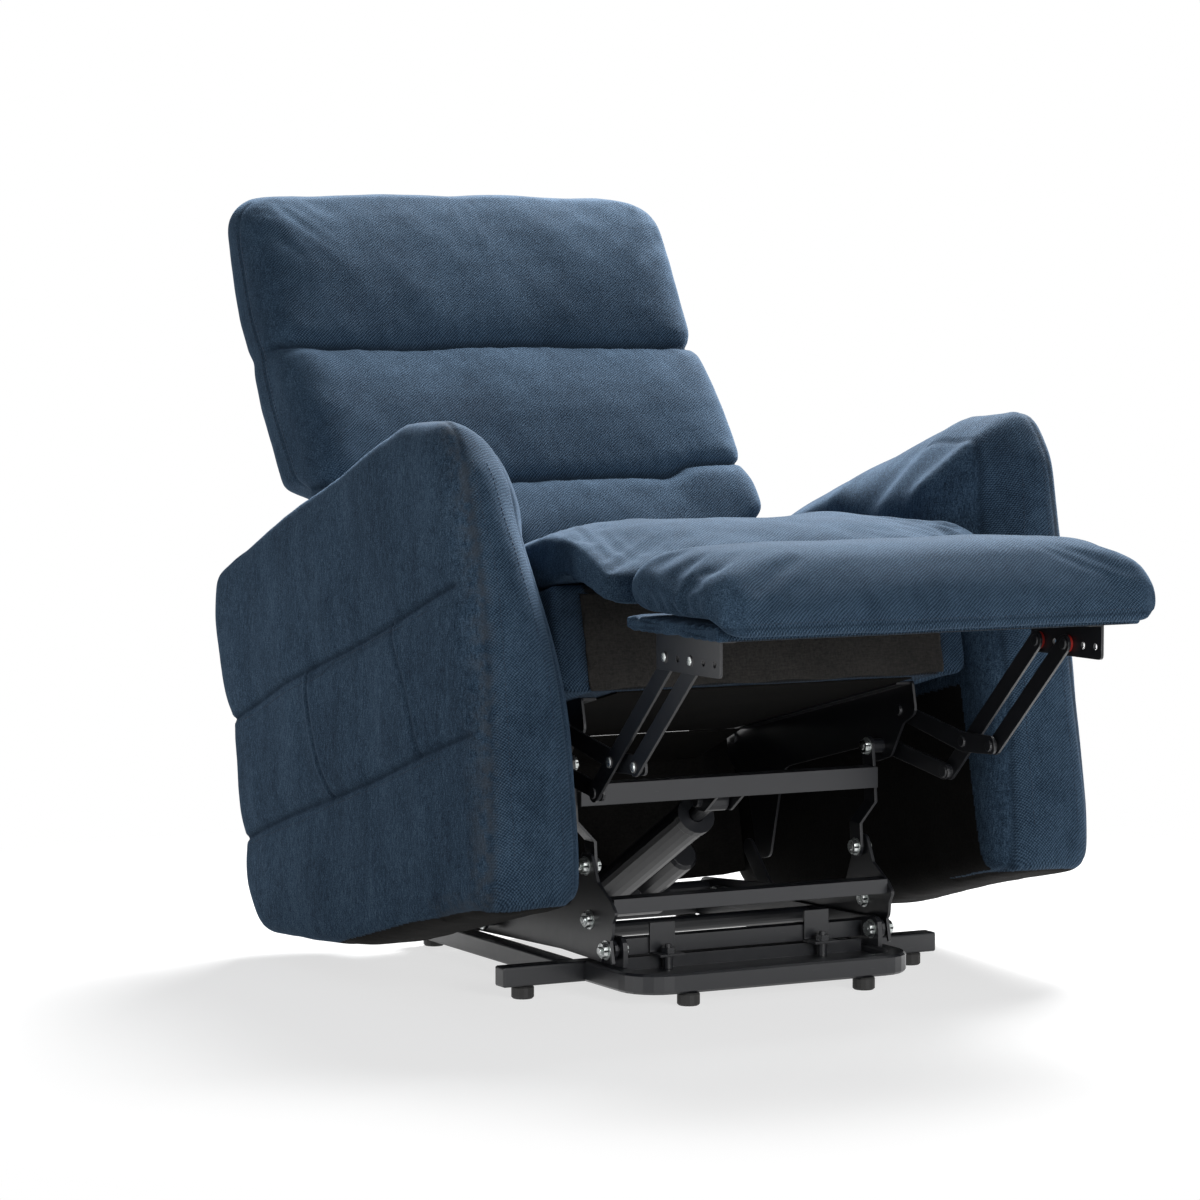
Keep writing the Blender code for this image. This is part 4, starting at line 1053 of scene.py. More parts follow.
# --- padded forms ---
@dataclass(frozen=True)
class PaddedForm:
    """A sewn cover: a side-view section carried across the chair and drawn in at both ends.

    At each station the section shrinks about its own middle by the end rounding
    r * (1 - sqrt(1 - t * t)), where t runs from 0 to 1 over the last r of the half width; slack
    takes a little off all round, which the stuffing gives back. The ends close on the heart. A
    form with a foot line keeps that line straight to its ends, and only what is above it shrinks.
    """

    name: str
    corners: tuple[Point, ...]
    half_width: float
    softness: float = 0.010
    end_round: float = 0.030
    slack: float = 0.004
    around: int = 260
    stations: int = 60
    heart: Optional[Point] = None
    foot: Optional[tuple[Point, ...]] = None

    def cover(self, frame_of: SideFrame) -> Piece:
        """Build the closed cover in the row frame.

        Args:
            frame_of: the family of coordinates that the corners are in.

        Returns:
            The new object.
        """
        outline = soft_outline(self.corners, self.softness, self.around)
        outline = outline + inward(outline) * self.slack
        middle = (outline.min(0) + outline.max(0)) / 2
        half = (outline.max(0) - outline.min(0)) / 2
        width = self.half_width - self.slack
        end = np.sin(np.linspace(0, math.pi / 2, 14))
        x_end = width - self.end_round + self.end_round * end
        shrink_end = self.end_round * (1 - np.sqrt(np.maximum(0.0, 1 - end ** 2))) * 0.8
        flat = np.linspace(0, width - self.end_round, self.stations // 2, endpoint=False)
        x = np.concatenate([flat, x_end])
        shrink = np.concatenate([np.zeros(len(flat)), shrink_end])
        x = np.concatenate([-x[:0:-1], x])
        shrink = np.concatenate([shrink[:0:-1], shrink])
        scale = 1 - np.minimum(shrink[:, None] / half, 0.75)
        rings = middle + (outline[None] - middle) * scale[:, None, :]
        if self.foot is not None:
            along, level = np.array(self.foot).T
            tall = outline[:, 1] - np.interp(outline[:, 0], along, level)
            rings[..., 1] = np.interp(rings[..., 0], along, level) \
                + tall * (1 - np.minimum(shrink / tall.max(), 0.75))[:, None]
        points = np.concatenate([np.broadcast_to(x[:, None, None], (*rings.shape[:2], 1)), rings], 2)
        closing = np.linspace(0.85, 0.12, 6)[:, None, None]
        heart = np.array(self.heart or tuple(points[0].mean(0)[1:]))
        cap = np.array((points[-1, 0, 0], *heart))
        right = cap + (points[-1:] - cap) * closing
        cap = np.array((points[0, 0, 0], *heart))
        left = (cap + (points[:1] - cap) * closing)[::-1]
        vertices, faces = closed_loft(np.concatenate([left, points, right]))
        return new_piece(self.name, frame_of.place(vertices), faces)


def declare(piece: Piece, body: str, nodes: Sequence[str],
            material: Material) -> None:
    """Dress a piece, hang it on its body and hide the nodes that it stands for.

    Args:
        piece: the finished piece.
        body: the body that it rides on.
        nodes: the nodes that it stands for, if any.
        material: its finish.
    """
    dress(piece, material)
    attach(piece, body)
    if nodes:
        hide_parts(*nodes)
    LOG.info("%s: %d faces", piece.name, len(piece.data.polygons))


def line_with(piece: Piece, share: Array, material: Material) -> None:
    """Give the faces whose corners' share is over one half a second material.

    Args:
        piece: the piece that is lined.
        share: how far each vertex is lined, 0 to 1.
        material: the lining.
    """
    mesh = piece.data
    mesh.materials.append(material)
    corners = np.empty(len(mesh.loops), np.int32)
    mesh.loops.foreach_get("vertex_index", corners)
    starts = np.empty(len(mesh.polygons), np.int32)
    mesh.polygons.foreach_get("loop_start", starts)
    mean = np.add.reduceat(share[corners], starts) / np.diff(np.append(starts, len(corners)))
    mesh.polygons.foreach_set("material_index", (mean > 0.5).astype(np.int32))
    mesh.update()


def sculpt(piece: Piece, depth: Array) -> None:
    """Move each vertex inwards along its normal by its depth.

    Args:
        piece: the piece whose mesh is moved.
        depth: one depth for each vertex.
    """
    mesh = piece.data
    move_to(mesh, coordinates(mesh) - normals(mesh) * np.asarray(depth)[:, None])


BACK_FOOT = 0.112                  # lower end of the back
BACK_HALF = 0.3255                 # half width of the rolls
FOOT_HALF = 0.2352                 # half width of the foot, which passes between the arms
# Front face of the back shell: (Y, Z) points from its foot to its top, in body coordinates.
BACK_LINE = np.array(((0.400, 0.110), (0.412, 0.200), (0.4325, 0.300), (0.4735, 0.430),
                      (0.530, 0.560), (0.572, 0.690), (0.588, 0.790)))


def back_line(height: Array) -> Array:
    """Y of the back shell's front face at a height."""
    return np.interp(height, BACK_LINE[:, 1], BACK_LINE[:, 0])


@dataclass
class Backrest:
    """The back: one stuffed cover, sewn into three rolls in front and boxed at the sides.

    The cover is a stack of level rings from the rolls' front profile to the rear line, both
    given as (Z, Y) points. Near the crown its half width follows a quarter circle, and low down
    it narrows to pass the arms, as the (Z, half width) points say.
    """

    finishes: Finishes
    half: float = BACK_HALF
    corner: float = 0.046
    foot_corner: float = 0.006
    rear_corner: float = 0.045
    crown: float = 0.862
    crown_round: float = 0.050
    crown_swell: float = 0.006
    ledge: float = 0.8095
    waist: float = 0.279
    slack: float = 0.004
    voxel: float = 0.0066
    reach: float = 0.022
    creases: Point = (0.4268, 0.6298)
    line: Fold = Fold(0.0038, 0.0060)
    valley: Fold = Fold(0.013, 0.0030)
    pucker: Fold = Fold(0.026, 0.0010)
    side_seam: Fold = Fold(0.0036, 0.0016)
    stitched: Point = (0.450, 0.806)
    stitch_rows: Point = (-0.0035, 0.0062)
    profile: tuple[Point, ...] = (
        (BACK_FOOT, 0.400), (0.200, 0.412), (0.264, 0.425), (0.270, 0.322), (0.300, 0.322),
        (0.340, 0.331), (0.385, 0.351), (0.412, 0.367), (0.4262, 0.388), (0.4275, 0.391),
        (0.440, 0.386), (0.480, 0.401), (0.540, 0.426), (0.590, 0.453), (0.617, 0.472),
        (0.6290, 0.488), (0.6308, 0.492), (0.645, 0.488), (0.690, 0.503), (0.760, 0.523),
        (0.815, 0.544), (0.838, 0.557), (0.850, 0.570), (0.859, 0.590), (0.862, 0.606))
    rear: tuple[Point, ...] = (
        (BACK_FOOT, 0.437), (0.124, 0.455), (0.252, 0.492), (0.400, 0.537), (0.444, 0.556),
        (0.560, 0.606), (0.690, 0.647), (0.775, 0.660), (0.815, 0.662), (0.840, 0.658),
        (0.855, 0.645), (0.862, 0.626))
    front_half: tuple[Point, ...] = (
        (BACK_FOOT, FOOT_HALF), (0.262, FOOT_HALF), (0.270, 0.2830), (0.338, 0.2830),
        (0.350, 0.3000), (0.372, BACK_HALF))
    rear_half: tuple[Point, ...] = (
        (BACK_FOOT, FOOT_HALF), (0.262, FOOT_HALF), (0.270, 0.2740), (0.418, 0.2830),
        (0.444, BACK_HALF))

    def lift(self, x: Array, z: Array) -> Array:
        """How far the creases run above their level.

        Each crease follows a slow sine. The lower one also climbs by an eased step at its right
        end, and the upper one at its left end. Both fade away from the crease as a bell.

        Args:
            x: places across the chair.
            z: heights.

        Returns:
            The rise of the crease line at each place.
        """
        low = 0.018 * smooth((x - 0.178) / 0.055) + 0.0015 * np.sin(x * 19)
        high = 0.0020 * np.sin(x * 15 + 1) + 0.004 * smooth((-0.25 - x) / 0.04)
        return low * bell(z - self.creases[0], 0.060) + high * bell(z - self.creases[1], 0.060)

    def build(self) -> None:
        """Make the cover, stuff it, sink its creases and sew it."""
        cover = self.cover()
        Stuffing(voxel=self.voxel, reach=self.reach).fill(cover, self.held)
        self.crease(cover)
        declare(cover, "backrest", ("back_pillow_lower", "back_pillow_middle", "back_pillow_upper",
                                    "back_shell"), self.finishes.twill)
        self.stitch(cover)

    def half_width(self, z: Array, y: Array) -> Array:
        """Half width before the crown's rounding, eased from the front line to the rear line.

        Args:
            z: heights.
            y: depths, which say how far a place is behind the shell's front face.

        Returns:
            The half width at each place.
        """
        heights, fronts = np.array(self.front_half).T
        rear_heights, rears = np.array(self.rear_half).T
        behind = smooth((y - back_line(z) + 0.020) / 0.030)
        front, rear = np.interp(z, heights, fronts), np.interp(z, rear_heights, rears)
        return front + (rear - front) * behind

    def half_at(self, z: Array) -> Array:
        """Half width of a full section, drawn in at the creases and round the crown.

        Args:
            z: heights.

        Returns:
            The half width less a bell at each crease, and in the crown's last stretch r less
            r minus the root of r squared minus the rise squared.
        """
        half = self.half - 0.005 * sum(bell(z - crease, 0.008) for crease in self.creases)
        above = np.clip(z - self.crown + self.crown_round, 0, self.crown_round)
        return half - self.crown_round + np.sqrt(self.crown_round ** 2 - above ** 2)

    def cover(self) -> Piece:
        """Stack the level rings of the cover, a little smaller than the stuffed back.

        Returns:
            The closed cover.
        """
        turn = np.linspace(0.06, 1.5, 22)
        z = np.concatenate([np.linspace(BACK_FOOT, self.ledge, 170),
                            self.crown - self.crown_round * (1 - np.sin(turn))])
        heights, fronts = np.array(self.profile).T
        rear_heights, rears = np.array(self.rear).T
        rear, front = np.interp(z, rear_heights, rears), np.interp(z, heights, fronts) + self.slack
        corner = np.where(z < self.waist - 0.011, self.foot_corner, 1.0) * self.corner
        x, deep = boxed_rings(self.half_at(z) - self.slack * 0.5, rear - front, corner,
                              self.rear_corner)
        near = np.interp(z[:, None] - self.lift(x, z[:, None]), heights, fronts) + self.slack
        y = near + deep * (rear[:, None] - near) / (rear - front)[:, None]
        x = x * (self.half_width(z[:, None], y) / self.half)
        swell = self.crown_swell * (1 - (x / self.half) ** 2) * smooth((z[:, None] - 0.72) / 0.14)
        vertices, faces = closed_loft(np.stack([x, y, z[:, None] + swell], -1))
        return new_piece("back_cover", BODY.place(vertices), faces)

    def held(self, points: Array) -> Array:
        """What the stuffing doesn't move: the frame side, the foot, the sides and the creases.

        Args:
            points: vertex places in the row frame.

        Returns:
            True for each vertex that stays.
        """
        local = BODY.local(points)
        x, y, z = local.T
        level = z - self.lift(x, z)
        sewn = (np.abs(level - self.creases[0]) < 0.006) | (np.abs(level - self.creases[1]) < 0.006)
        return (back_line(z) - y < 0.012) | sewn | (z < self.waist) | (
            np.abs(x) > self.half - 0.010)

    def crease(self, piece: Piece) -> None:
        """Sink the creases and the side seam, add soft dents, paint shade into the seams and creases and
        mark the cloth's lie.

        Args:
            piece: the stuffed cover.
        """
        local = BODY.local(coordinates(piece.data))
        x, y, z = local.T
        level = z - self.lift(x, z)
        face = back_line(z) - y
        front = smooth((face - 0.004) / 0.030)
        gaps = [level - crease for crease in self.creases]
        line, valley = self.line.share(*gaps) * front, self.valley.share(*gaps) * front
        pucker = self.pucker.share(*gaps) * front * ripple(local * (1, 0.4, 0.4), 0.034, 13)
        wide = self.half_width(z, y)
        side = smooth((np.abs(x) - wide + 0.03) / 0.01)
        edge = self.side_seam.share(face + 0.001) * side * (z > self.waist - 0.009)
        dents = (ripple(local, 0.16, 11) * 0.0014 + ripple(local, 0.05, 12) * 0.0004) \
            * smooth((z - 0.25) / 0.04)
        sculpt(piece, line * self.line.depth + valley * self.valley.depth
               + pucker * self.pucker.depth + edge * self.side_seam.depth + dents)
        # Painted shade: the crease lines and the side seam are marked to darken in the cloth's colour.
        mark(piece, "seam", np.clip(line * 0.9 + edge * 0.45, 0, 1))
        mark(piece, "ply", np.maximum(smooth((wide - 0.006 - np.abs(x)) / 0.034) * smooth(face / 0.02),
                                      0.10))

    def stitch(self, piece: Piece) -> None:
        """Twin rows along the side seam that joins the rolls to the boxed rear.

        Args:
            piece: the cover that is sewn.
        """
        z = np.linspace(*self.stitched, 120)
        paths = [BODY.place(np.stack([np.full_like(z, side.value * (self.half + 0.01)),
                                      back_line(z) - inset, z], 1))
                 for side in Side for inset in self.stitch_rows]
        sew("back_stitching", piece, paths, "backrest", self.finishes)


@dataclass
class Seat:
    """Seat box with its spun cloth, the seat cushion with the leg pad, and the rear dust cloth."""

    finishes: Finishes
    half: float = 0.287
    box_front: float = -0.140
    box_back: float = 0.335
    box_bottom: float = 0.070
    box_top: float = 0.200
    box_corner: float = 0.013
    box_edge: float = 0.010
    panel_half: float = 0.250
    cushion_foot: float = 0.2008
    pad_slope: float = math.radians(28.0)
    pad_length: float = 0.1265
    under: float = 0.003
    hem: Fold = Fold(0.0030, 0.0014)
    end_fold: Fold = Fold(0.030, 0.0022)
    apron_half: float = 0.2258
    apron: tuple[Point, Point] = ((0.3355, 0.068), (0.466, 0.0455))
    hang_y: float = 0.4710
    hang_top: float = 0.042
    ear_start: float = 0.237
    ear_rise: float = 0.068
    cloth: float = 0.0014
    hang_foot: tuple[Point, ...] = (
        (-0.287, -0.112), (-0.21, -0.126), (-0.10, -0.118), (0.0, -0.132), (0.085, -0.133),
        (0.150, -0.124), (0.200, -0.110), (0.208, -0.104), (0.22, -0.109), (0.25, -0.116),
        (0.287, -0.112))

    def at(self, s: float, n: float) -> Point:
        """A corner of the leg pad, whose slope runs down and forward from the hinge.

        Args:
            s: how far down the slope.
            n: how far above it.

        Returns:
            Its place (y, z), in body coordinates.
        """
        hinge = BODY.local(PIVOTS["leg_pad_drop"])[1:]
        return (float(hinge[0]) - s * math.cos(self.pad_slope) - n * math.sin(self.pad_slope),
                float(hinge[1]) - s * math.sin(self.pad_slope) + n * math.cos(self.pad_slope))

    def build(self) -> None:
        """Make the box, its front cloth, the cushion with the leg pad and the rear cloth."""
        self.box()
        self.panel()
        self.cover()
        self.drape()

    def box(self) -> None:
        """Cloth-covered box: an outline with rounded lower corners carried front to back.

        At both ends the outline draws in by r - r cos t while it runs out by r sin t, and then
        shrinks step by step to its middle.
        """
        low, high, half = self.box_bottom, self.box_top, self.half
        corners = ((-half, high), (-half, low), (half, low), (half, high))
        outline = soft_outline(corners, self.box_corner, 320)
        outline[:, 1] = np.where(outline[:, 1] > high - 0.03, np.minimum(outline[:, 1] + 0.004, high),
                                 outline[:, 1])
        t = np.linspace(0, math.pi / 2, 7)
        radius, straight = self.box_edge, 58
        y = np.concatenate([
            self.box_front + radius * (1 - np.sin(t[::-1])),
            np.linspace(self.box_front + radius, self.box_back - radius, straight + 2)[1:-1],
            self.box_back - radius * (1 - np.sin(t))])
        draw = np.concatenate([radius * (1 - np.cos(t[::-1])), np.zeros(straight),
                               radius * (1 - np.cos(t))])
        middle, size = np.array((0.0, (low + high) / 2)), np.array((outline.max(0)[0], (high - low) / 2))
        flat = middle + (outline - middle) * (1 - draw[:, None] / size)[:, None, :]
        depth = np.broadcast_to(y[:, None], flat.shape[:2])
        rings = np.stack([flat[..., 0], depth, flat[..., 1]], -1)
        steps = np.linspace(0.93, 0.06, 14)[:, None, None]
        front, rear = rings[:1].mean(1, keepdims=True), rings[-1:].mean(1, keepdims=True)
        rings = np.concatenate([(front + (rings[:1] - front) * steps)[::-1], rings,
                                rear + (rings[-1:] - rear) * steps])
        vertices, faces = closed_loft(rings)
        piece = new_piece("seat_box_cover", BODY.place(vertices), faces)
        local = BODY.local(coordinates(piece.data))
        sculpt(piece, ripple(local, 0.09, 41) * 0.0009 + 0.0006)
        inside = smooth((self.panel_half - 0.004 - np.abs(local[:, 0])) / 0.004)
        mark(piece, "ply", np.ones(len(local)))
        mark(piece, "dark", inside * (local[:, 1] < 0.0))
        declare(piece, "chassis", ("seat_box",), self.finishes.twill)

    def panel(self) -> None:
        """Spun cloth on the box's front: a thin sheet that waves between its staples.

        The sheet swells by the product of two even powers that fall to nothing at its edges,
        and by a slow sine across; its edges wave as shallow sines.
        """
        across, up = np.meshgrid(np.linspace(-1, 1, 170), np.linspace(0, 1, 50), indexing="ij")
        low, high = self.box_bottom + 0.002, self.box_top - 0.012
        edge = self.panel_half + 0.0015 * np.sin(up * 21) - 0.0015
        x = across * edge
        z = low + up * (high - low) + 0.0012 * np.sin(x * 60) * (1 - up)
        swell = (1 - across ** 8) * (1 - (2 * up - 1) ** 4)
        y = self.box_front - 0.0012 - 0.0022 * swell * (0.6 + 0.4 * np.sin(x * 23 + 3 * up))
        front = np.stack([x, y, z], -1)
        back = np.stack([x, np.full_like(x, self.box_front - 0.0003), z], -1)
        vertices, faces = closed_loft(np.concatenate([front, back[:, ::-1]], 1))
        piece = new_piece("seat_front_cloth", BODY.place(vertices), faces)
        declare(piece, "chassis", ("seat_front_panel",), self.finishes.felt)

    def drape(self) -> None:
        """Dust cloth behind the linkage: an apron that slopes back, then hangs in scallops.

        The first rows run straight from the box to the hanging line. The others run straight
        down from the cloth's top, which steps up into an ear at each side, to its scalloped foot,
        and wave as a sine of a sine that grows with the root-like power 0.7 of the way down.
        """
        apron_rows, hang_rows = 14, 60
        x = np.linspace(-1, 1, 260)
        places, feet = np.array(self.hang_foot).T
        hang = np.interp(x * self.half, places, feet)
        top = self.hang_top + self.ear_rise * smooth((np.abs(x) * self.half - self.ear_start) / 0.005)
        row = np.arange(apron_rows + hang_rows)
        share = np.concatenate([np.zeros(apron_rows), np.linspace(0, 1, hang_rows)])[:, None]
        apron = (row < apron_rows)[:, None]
        (near, near_top), (far, far_top) = self.apron
        ends = (0, apron_rows - 1)
        y = np.where(apron[:, 0], np.interp(row, ends, (near, far)), self.hang_y)[:, None]
        z = np.where(apron, np.interp(row, ends, (near_top, far_top))[:, None],
                     top[None] + share * (hang - top)[None])
        half = np.where(apron, self.apron_half, self.half)
        wave = 0.0035 * share ** 0.7 * np.sin(x * 9 + 2.2 * np.sin(x * 4))[None]
        sheet = np.stack([half * x[None], y + wave, z], -1)
        gap = np.array((0.0, self.cloth / 2, self.cloth / 2))
        vertices, faces = closed_loft(np.concatenate([sheet + gap, (sheet - gap)[:, ::-1]], 1))
        piece = new_piece("rear_cloth_drape", BODY.place(vertices), faces)
        # The darker felt copy paints shade onto the dust cloth behind the linkage.
        declare(piece, "chassis", ("rear_dust_cloth",), self.finishes.painted_shade_felt)

    def form(self) -> PaddedForm:
        """Side section of the seat cushion and the leg pad, with its straight foot line.

        Returns:
            The form, in body coordinates.
        """
        foot, end, under = self.cushion_foot, self.pad_length, self.under
        return PaddedForm("seat_and_leg_cover", (
            (-0.150, foot), (0.312, foot), (0.312, 0.252), (0.080, 0.271), (-0.040, 0.280),
            (-0.110, 0.279), (-0.158, 0.273), self.at(0.024, 0.060), self.at(0.060, 0.056),
            self.at(0.092, 0.051), self.at(0.119, 0.045), self.at(end, 0.036),
            self.at(end, under), self.at(0.0, 0.002)), self.half - 0.0012, 0.0060, 0.036,
            slack=0.003, around=420, stations=80, heart=(-0.090, 0.236),
            foot=(self.at(0.14, under), self.at(0.004, under), (-0.140, foot), (0.32, foot)))

    def on_pad(self, local: Array) -> tuple[Array, Array]:
        """Places as distances down the leg pad's slope and above its foot.

        Args:
            local: (n, 3) places in body coordinates.

        Returns:
            How far down the slope from the hinge, and how far above it, each place is.
        """
        hinge_y, hinge_z = BODY.local(PIVOTS["leg_pad_drop"])[1:]
        y, z = local[:, 1] - hinge_y, local[:, 2] - hinge_z
        c, s = math.cos(self.pad_slope), math.sin(self.pad_slope)
        return -y * c - z * s, -y * s + z * c

    def cover(self) -> None:
        """Seat cushion and leg pad under one cover, its outline turning down at the pad's hinge."""
        piece = self.form().cover(BODY)
        Stuffing(voxel=0.0055, reach=0.016).fill(piece, self.held)
        local = BODY.local(coordinates(piece.data))
        down, up = self.on_pad(local)
        side = self.half - np.abs(local[:, 0])
        hem = self.hem.share(up - 0.006) * (side < 0.02) * smooth(down / 0.01)
        draw = 0.5 + 0.5 * np.sin(side * 2 * math.pi / 0.026 + 1.2 * np.sin(down * 40))
        fold = draw * self.end_fold.share(side - 0.045) * smooth(up / 0.03) * bell(down - 0.010, 0.060)
        sculpt(piece, hem * self.hem.depth + fold * self.end_fold.depth
               + ripple(local, 0.12, 51) * 0.0018 + ripple(local, 0.045, 52) * 0.0004)
        # Painted shade: the hem and the end folds are marked to darken in the cloth's colour.
        mark(piece, "seam", hem * 0.7 + fold * 0.12)
        mark(piece, "ply", smooth((side - 0.012) / 0.05))
        dress(piece, self.finishes.twill)
        hinge_y, hinge_z = (float(place) for place in BODY.local(PIVOTS["leg_pad_drop"])[1:])
        bend_in, bend_out, level = hinge_y + 0.034, hinge_y - 0.030, hinge_z + 0.05
        tuple(BODY.place(np.array((0.0, bend_in, level))))
        tuple(BODY.place(np.array((0.0, bend_out, level))))
        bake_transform(piece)
        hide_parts("seat_cushion", "leg_pad")
        LOG.info("%s: %d faces", piece.name, len(piece.data.polygons))

    def held(self, points: Array) -> Array:
        """What the stuffing doesn't move: the cushion's foot, the pad's under side and both ends.

        Args:
            points: vertex places in the row frame.

        Returns:
            True for each vertex that stays.
        """
        local = BODY.local(points)
        above = self.on_pad(local)[1]
        pad = local[:, 1] < BODY.local(PIVOTS["leg_pad_drop"])[1]
        return (pad & (above < 0.010)) | (~pad & (local[:, 2] < 0.209)) | \
            (np.abs(local[:, 0]) > self.half - 0.010)


@dataclass
class Arm:
    """A padded arm: its side outline carried across, drawn in towards both faces.

    Going across, the outline is inset by a lean that falls off from the inner edge, most at the
    top of the front, and by a rounding at the outer edge; the front bulges as a half sine. Both
    faces are the last outline shrunk step by step to its middle. Seams sink as Gaussian grooves.
    """

    side: Side
    finishes: Finishes
    inner_face: float = 0.2873
    thickness: float = 0.1427
    around: int = 440
    across: int = 44
    voxel: float = 0.0068
    heart: Point = (0.190, 0.110)
    bulge: float = 0.020
    outline: tuple[Point, ...] = (
        (-0.153, -0.186), (0.222, -0.189), (0.376, -0.172), (0.502, -0.146), (0.544, -0.080),
        (0.536, 0.020), (0.545, 0.150), (0.563, 0.272), (0.545, 0.338), (0.442, 0.357),
        (0.270, 0.382), (0.112, 0.397), (-0.045, 0.420), (-0.160, 0.400), (-0.190, 0.336),
        (-0.186, 0.250), (-0.183, 0.120), (-0.176, -0.020), (-0.168, -0.115))
    upper_seam: tuple[Point, Point] = ((-0.173, 0.201), (0.560, 0.136))
    lower_seam: tuple[Point, Point] = ((-0.172, 0.023), (0.545, -0.020))
    pocket: tuple[Point, ...] = ((0.272, 0.155), (0.002, 0.182), (-0.040, 0.012), (0.236, -0.004))
    groove: Fold = Fold(0.0038, 0.0045)
    valley: Fold = Fold(0.020, 0.0035)
    swell: Fold = Fold(0.045, -0.0016)
    swell_rise: float = 0.050
    welt: Fold = Fold(0.0034, -0.0013)
    ditch: Fold = Fold(0.0040, 0.0021)
    ditch_inset: float = 0.007
    hem: Fold = Fold(0.0035, 0.0012)
    hem_drop: float = 0.011
    bag_rise: float = 0.0016
    band_seams: Point = (0.0032, 0.0036)
    band_sink: float = 0.0014

    def surface(self) -> Surface:
        """Work out the closed surface of the right arm, in body coordinates.

        Each outline's inset is taken along the spoke from the arm's middle, so no two spokes
        cross: a point's share of its spoke is 1 - inset / (spoke * cosine to the normal).

        Returns:
            Vertices and faces.
        """
        outline = soft_outline(self.outline, 0.012, self.around)
        normal = inward(outline)
        y, z = outline.T
        front = np.clip((0.02 - y) / 0.14, 0, 1) * np.clip((0.44 - z) / 0.2, 0, 1)
        high = smooth(z / 0.36)
        near = np.clip((0.20 - y) / 0.25, 0.3, 1)
        k = 0.5 - 0.5 * np.cos(math.pi * np.linspace(0, 1, self.across))
        inner, outer = (k * self.thickness)[:, None], ((1 - k) * self.thickness)[:, None]
        lean = (0.02 + 0.09 * high * near) * np.clip(1 - inner / (0.04 + 0.08 * high), 0, 1) ** 1.7
        edge = (0.012 + 0.018 * near) * (1 - np.sqrt(1 - np.clip(1 - outer / 0.034, 0, 1) ** 2))
        soft = 0.008 * (1 - np.sqrt(1 - np.clip(1 - inner / 0.016, 0, 1) ** 2))
        heart = np.array(self.heart)
        spoke = outline - heart
        reach = np.linalg.norm(spoke, axis=1)
        facing = np.maximum(-np.sum(spoke * normal, 1) / reach, 0.5)
        rings = heart + spoke[None] * (1 - (lean + edge + soft) / (reach * facing))[:, :, None]
        rings[:, :, 0] -= self.bulge * np.sin(math.pi * k)[:, None] * front
        x = np.broadcast_to((self.inner_face + inner), rings.shape[:2])
        rim = np.concatenate([x[:, :, None], rings], 2)
        steps = (1 - np.linspace(0, 1, 30)[1:-1])[:, None, None]

        def face(ring: Array, crown: float) -> Array:
            """Shrink a ring to the middle of its face, with a slight crown.

            Args:
                ring: (n, 3) points of the face's rim.
                crown: how far the middle stands out, along X.

            Returns:
                The rings between the rim and the middle.
            """
            core = np.array((ring[0, 0], *heart))
            made = core + (ring - core) * steps
            made[:, :, 0] += crown * (1 - steps[:, :, 0] ** 6)
            return made

        grid = np.concatenate([face(rim[0], -0.001)[::-1], rim, face(rim[-1], 0.003)])
        return closed_loft(grid)

    def build(self) -> None:
        """Make the arm, sink its seams, mark its cloths and sew the band."""
        vertices, faces = self.surface()
        vertices[:, 0] *= self.side.value
        if self.side is Side.LEFT:
            faces = [face[::-1] for face in faces]
        piece = new_piece(f"arm_cover_{self.side.word}", BODY.place(vertices), faces)
        even_mesh(piece, self.voxel, 9)
        refine(piece)
        points = BODY.local(coordinates(piece.data)) * (self.side.value, 1, 1)
        depth, sewn = self.outer_seams(points)
        band, seam, lint = self.front_band(points)
        black = self.lining(points)
        sculpt(piece, depth + seam * self.band_sink)
        # Painted shade: the grooves, ditches, hem and band seams are marked to darken in the cloth's
        # colour.
        mark(piece, "seam", np.clip(sewn + seam * 0.5, 0, 1))
        mark(piece, "lint", lint)
        mark(piece, "ply", np.clip(band + 0.10, 0, 1))
        mark(piece, "dark", black)
        declare(piece, "chassis", (f"arm_{self.side.word}", f"arm_pocket_{self.side.word}"),
                self.finishes.chenille)
        # The black lining is real cloth, and drawing it with the darker felt copy adds painted shade low
        # on the arm.
        line_with(piece, black, self.finishes.painted_shade_felt)
        self.stitch(piece)

    def across_share(self, x: Array) -> Array:
        """Share of the arm's thickness, from its inner face at 0 to its outer face at 1."""
        return (x - self.inner_face) / self.thickness

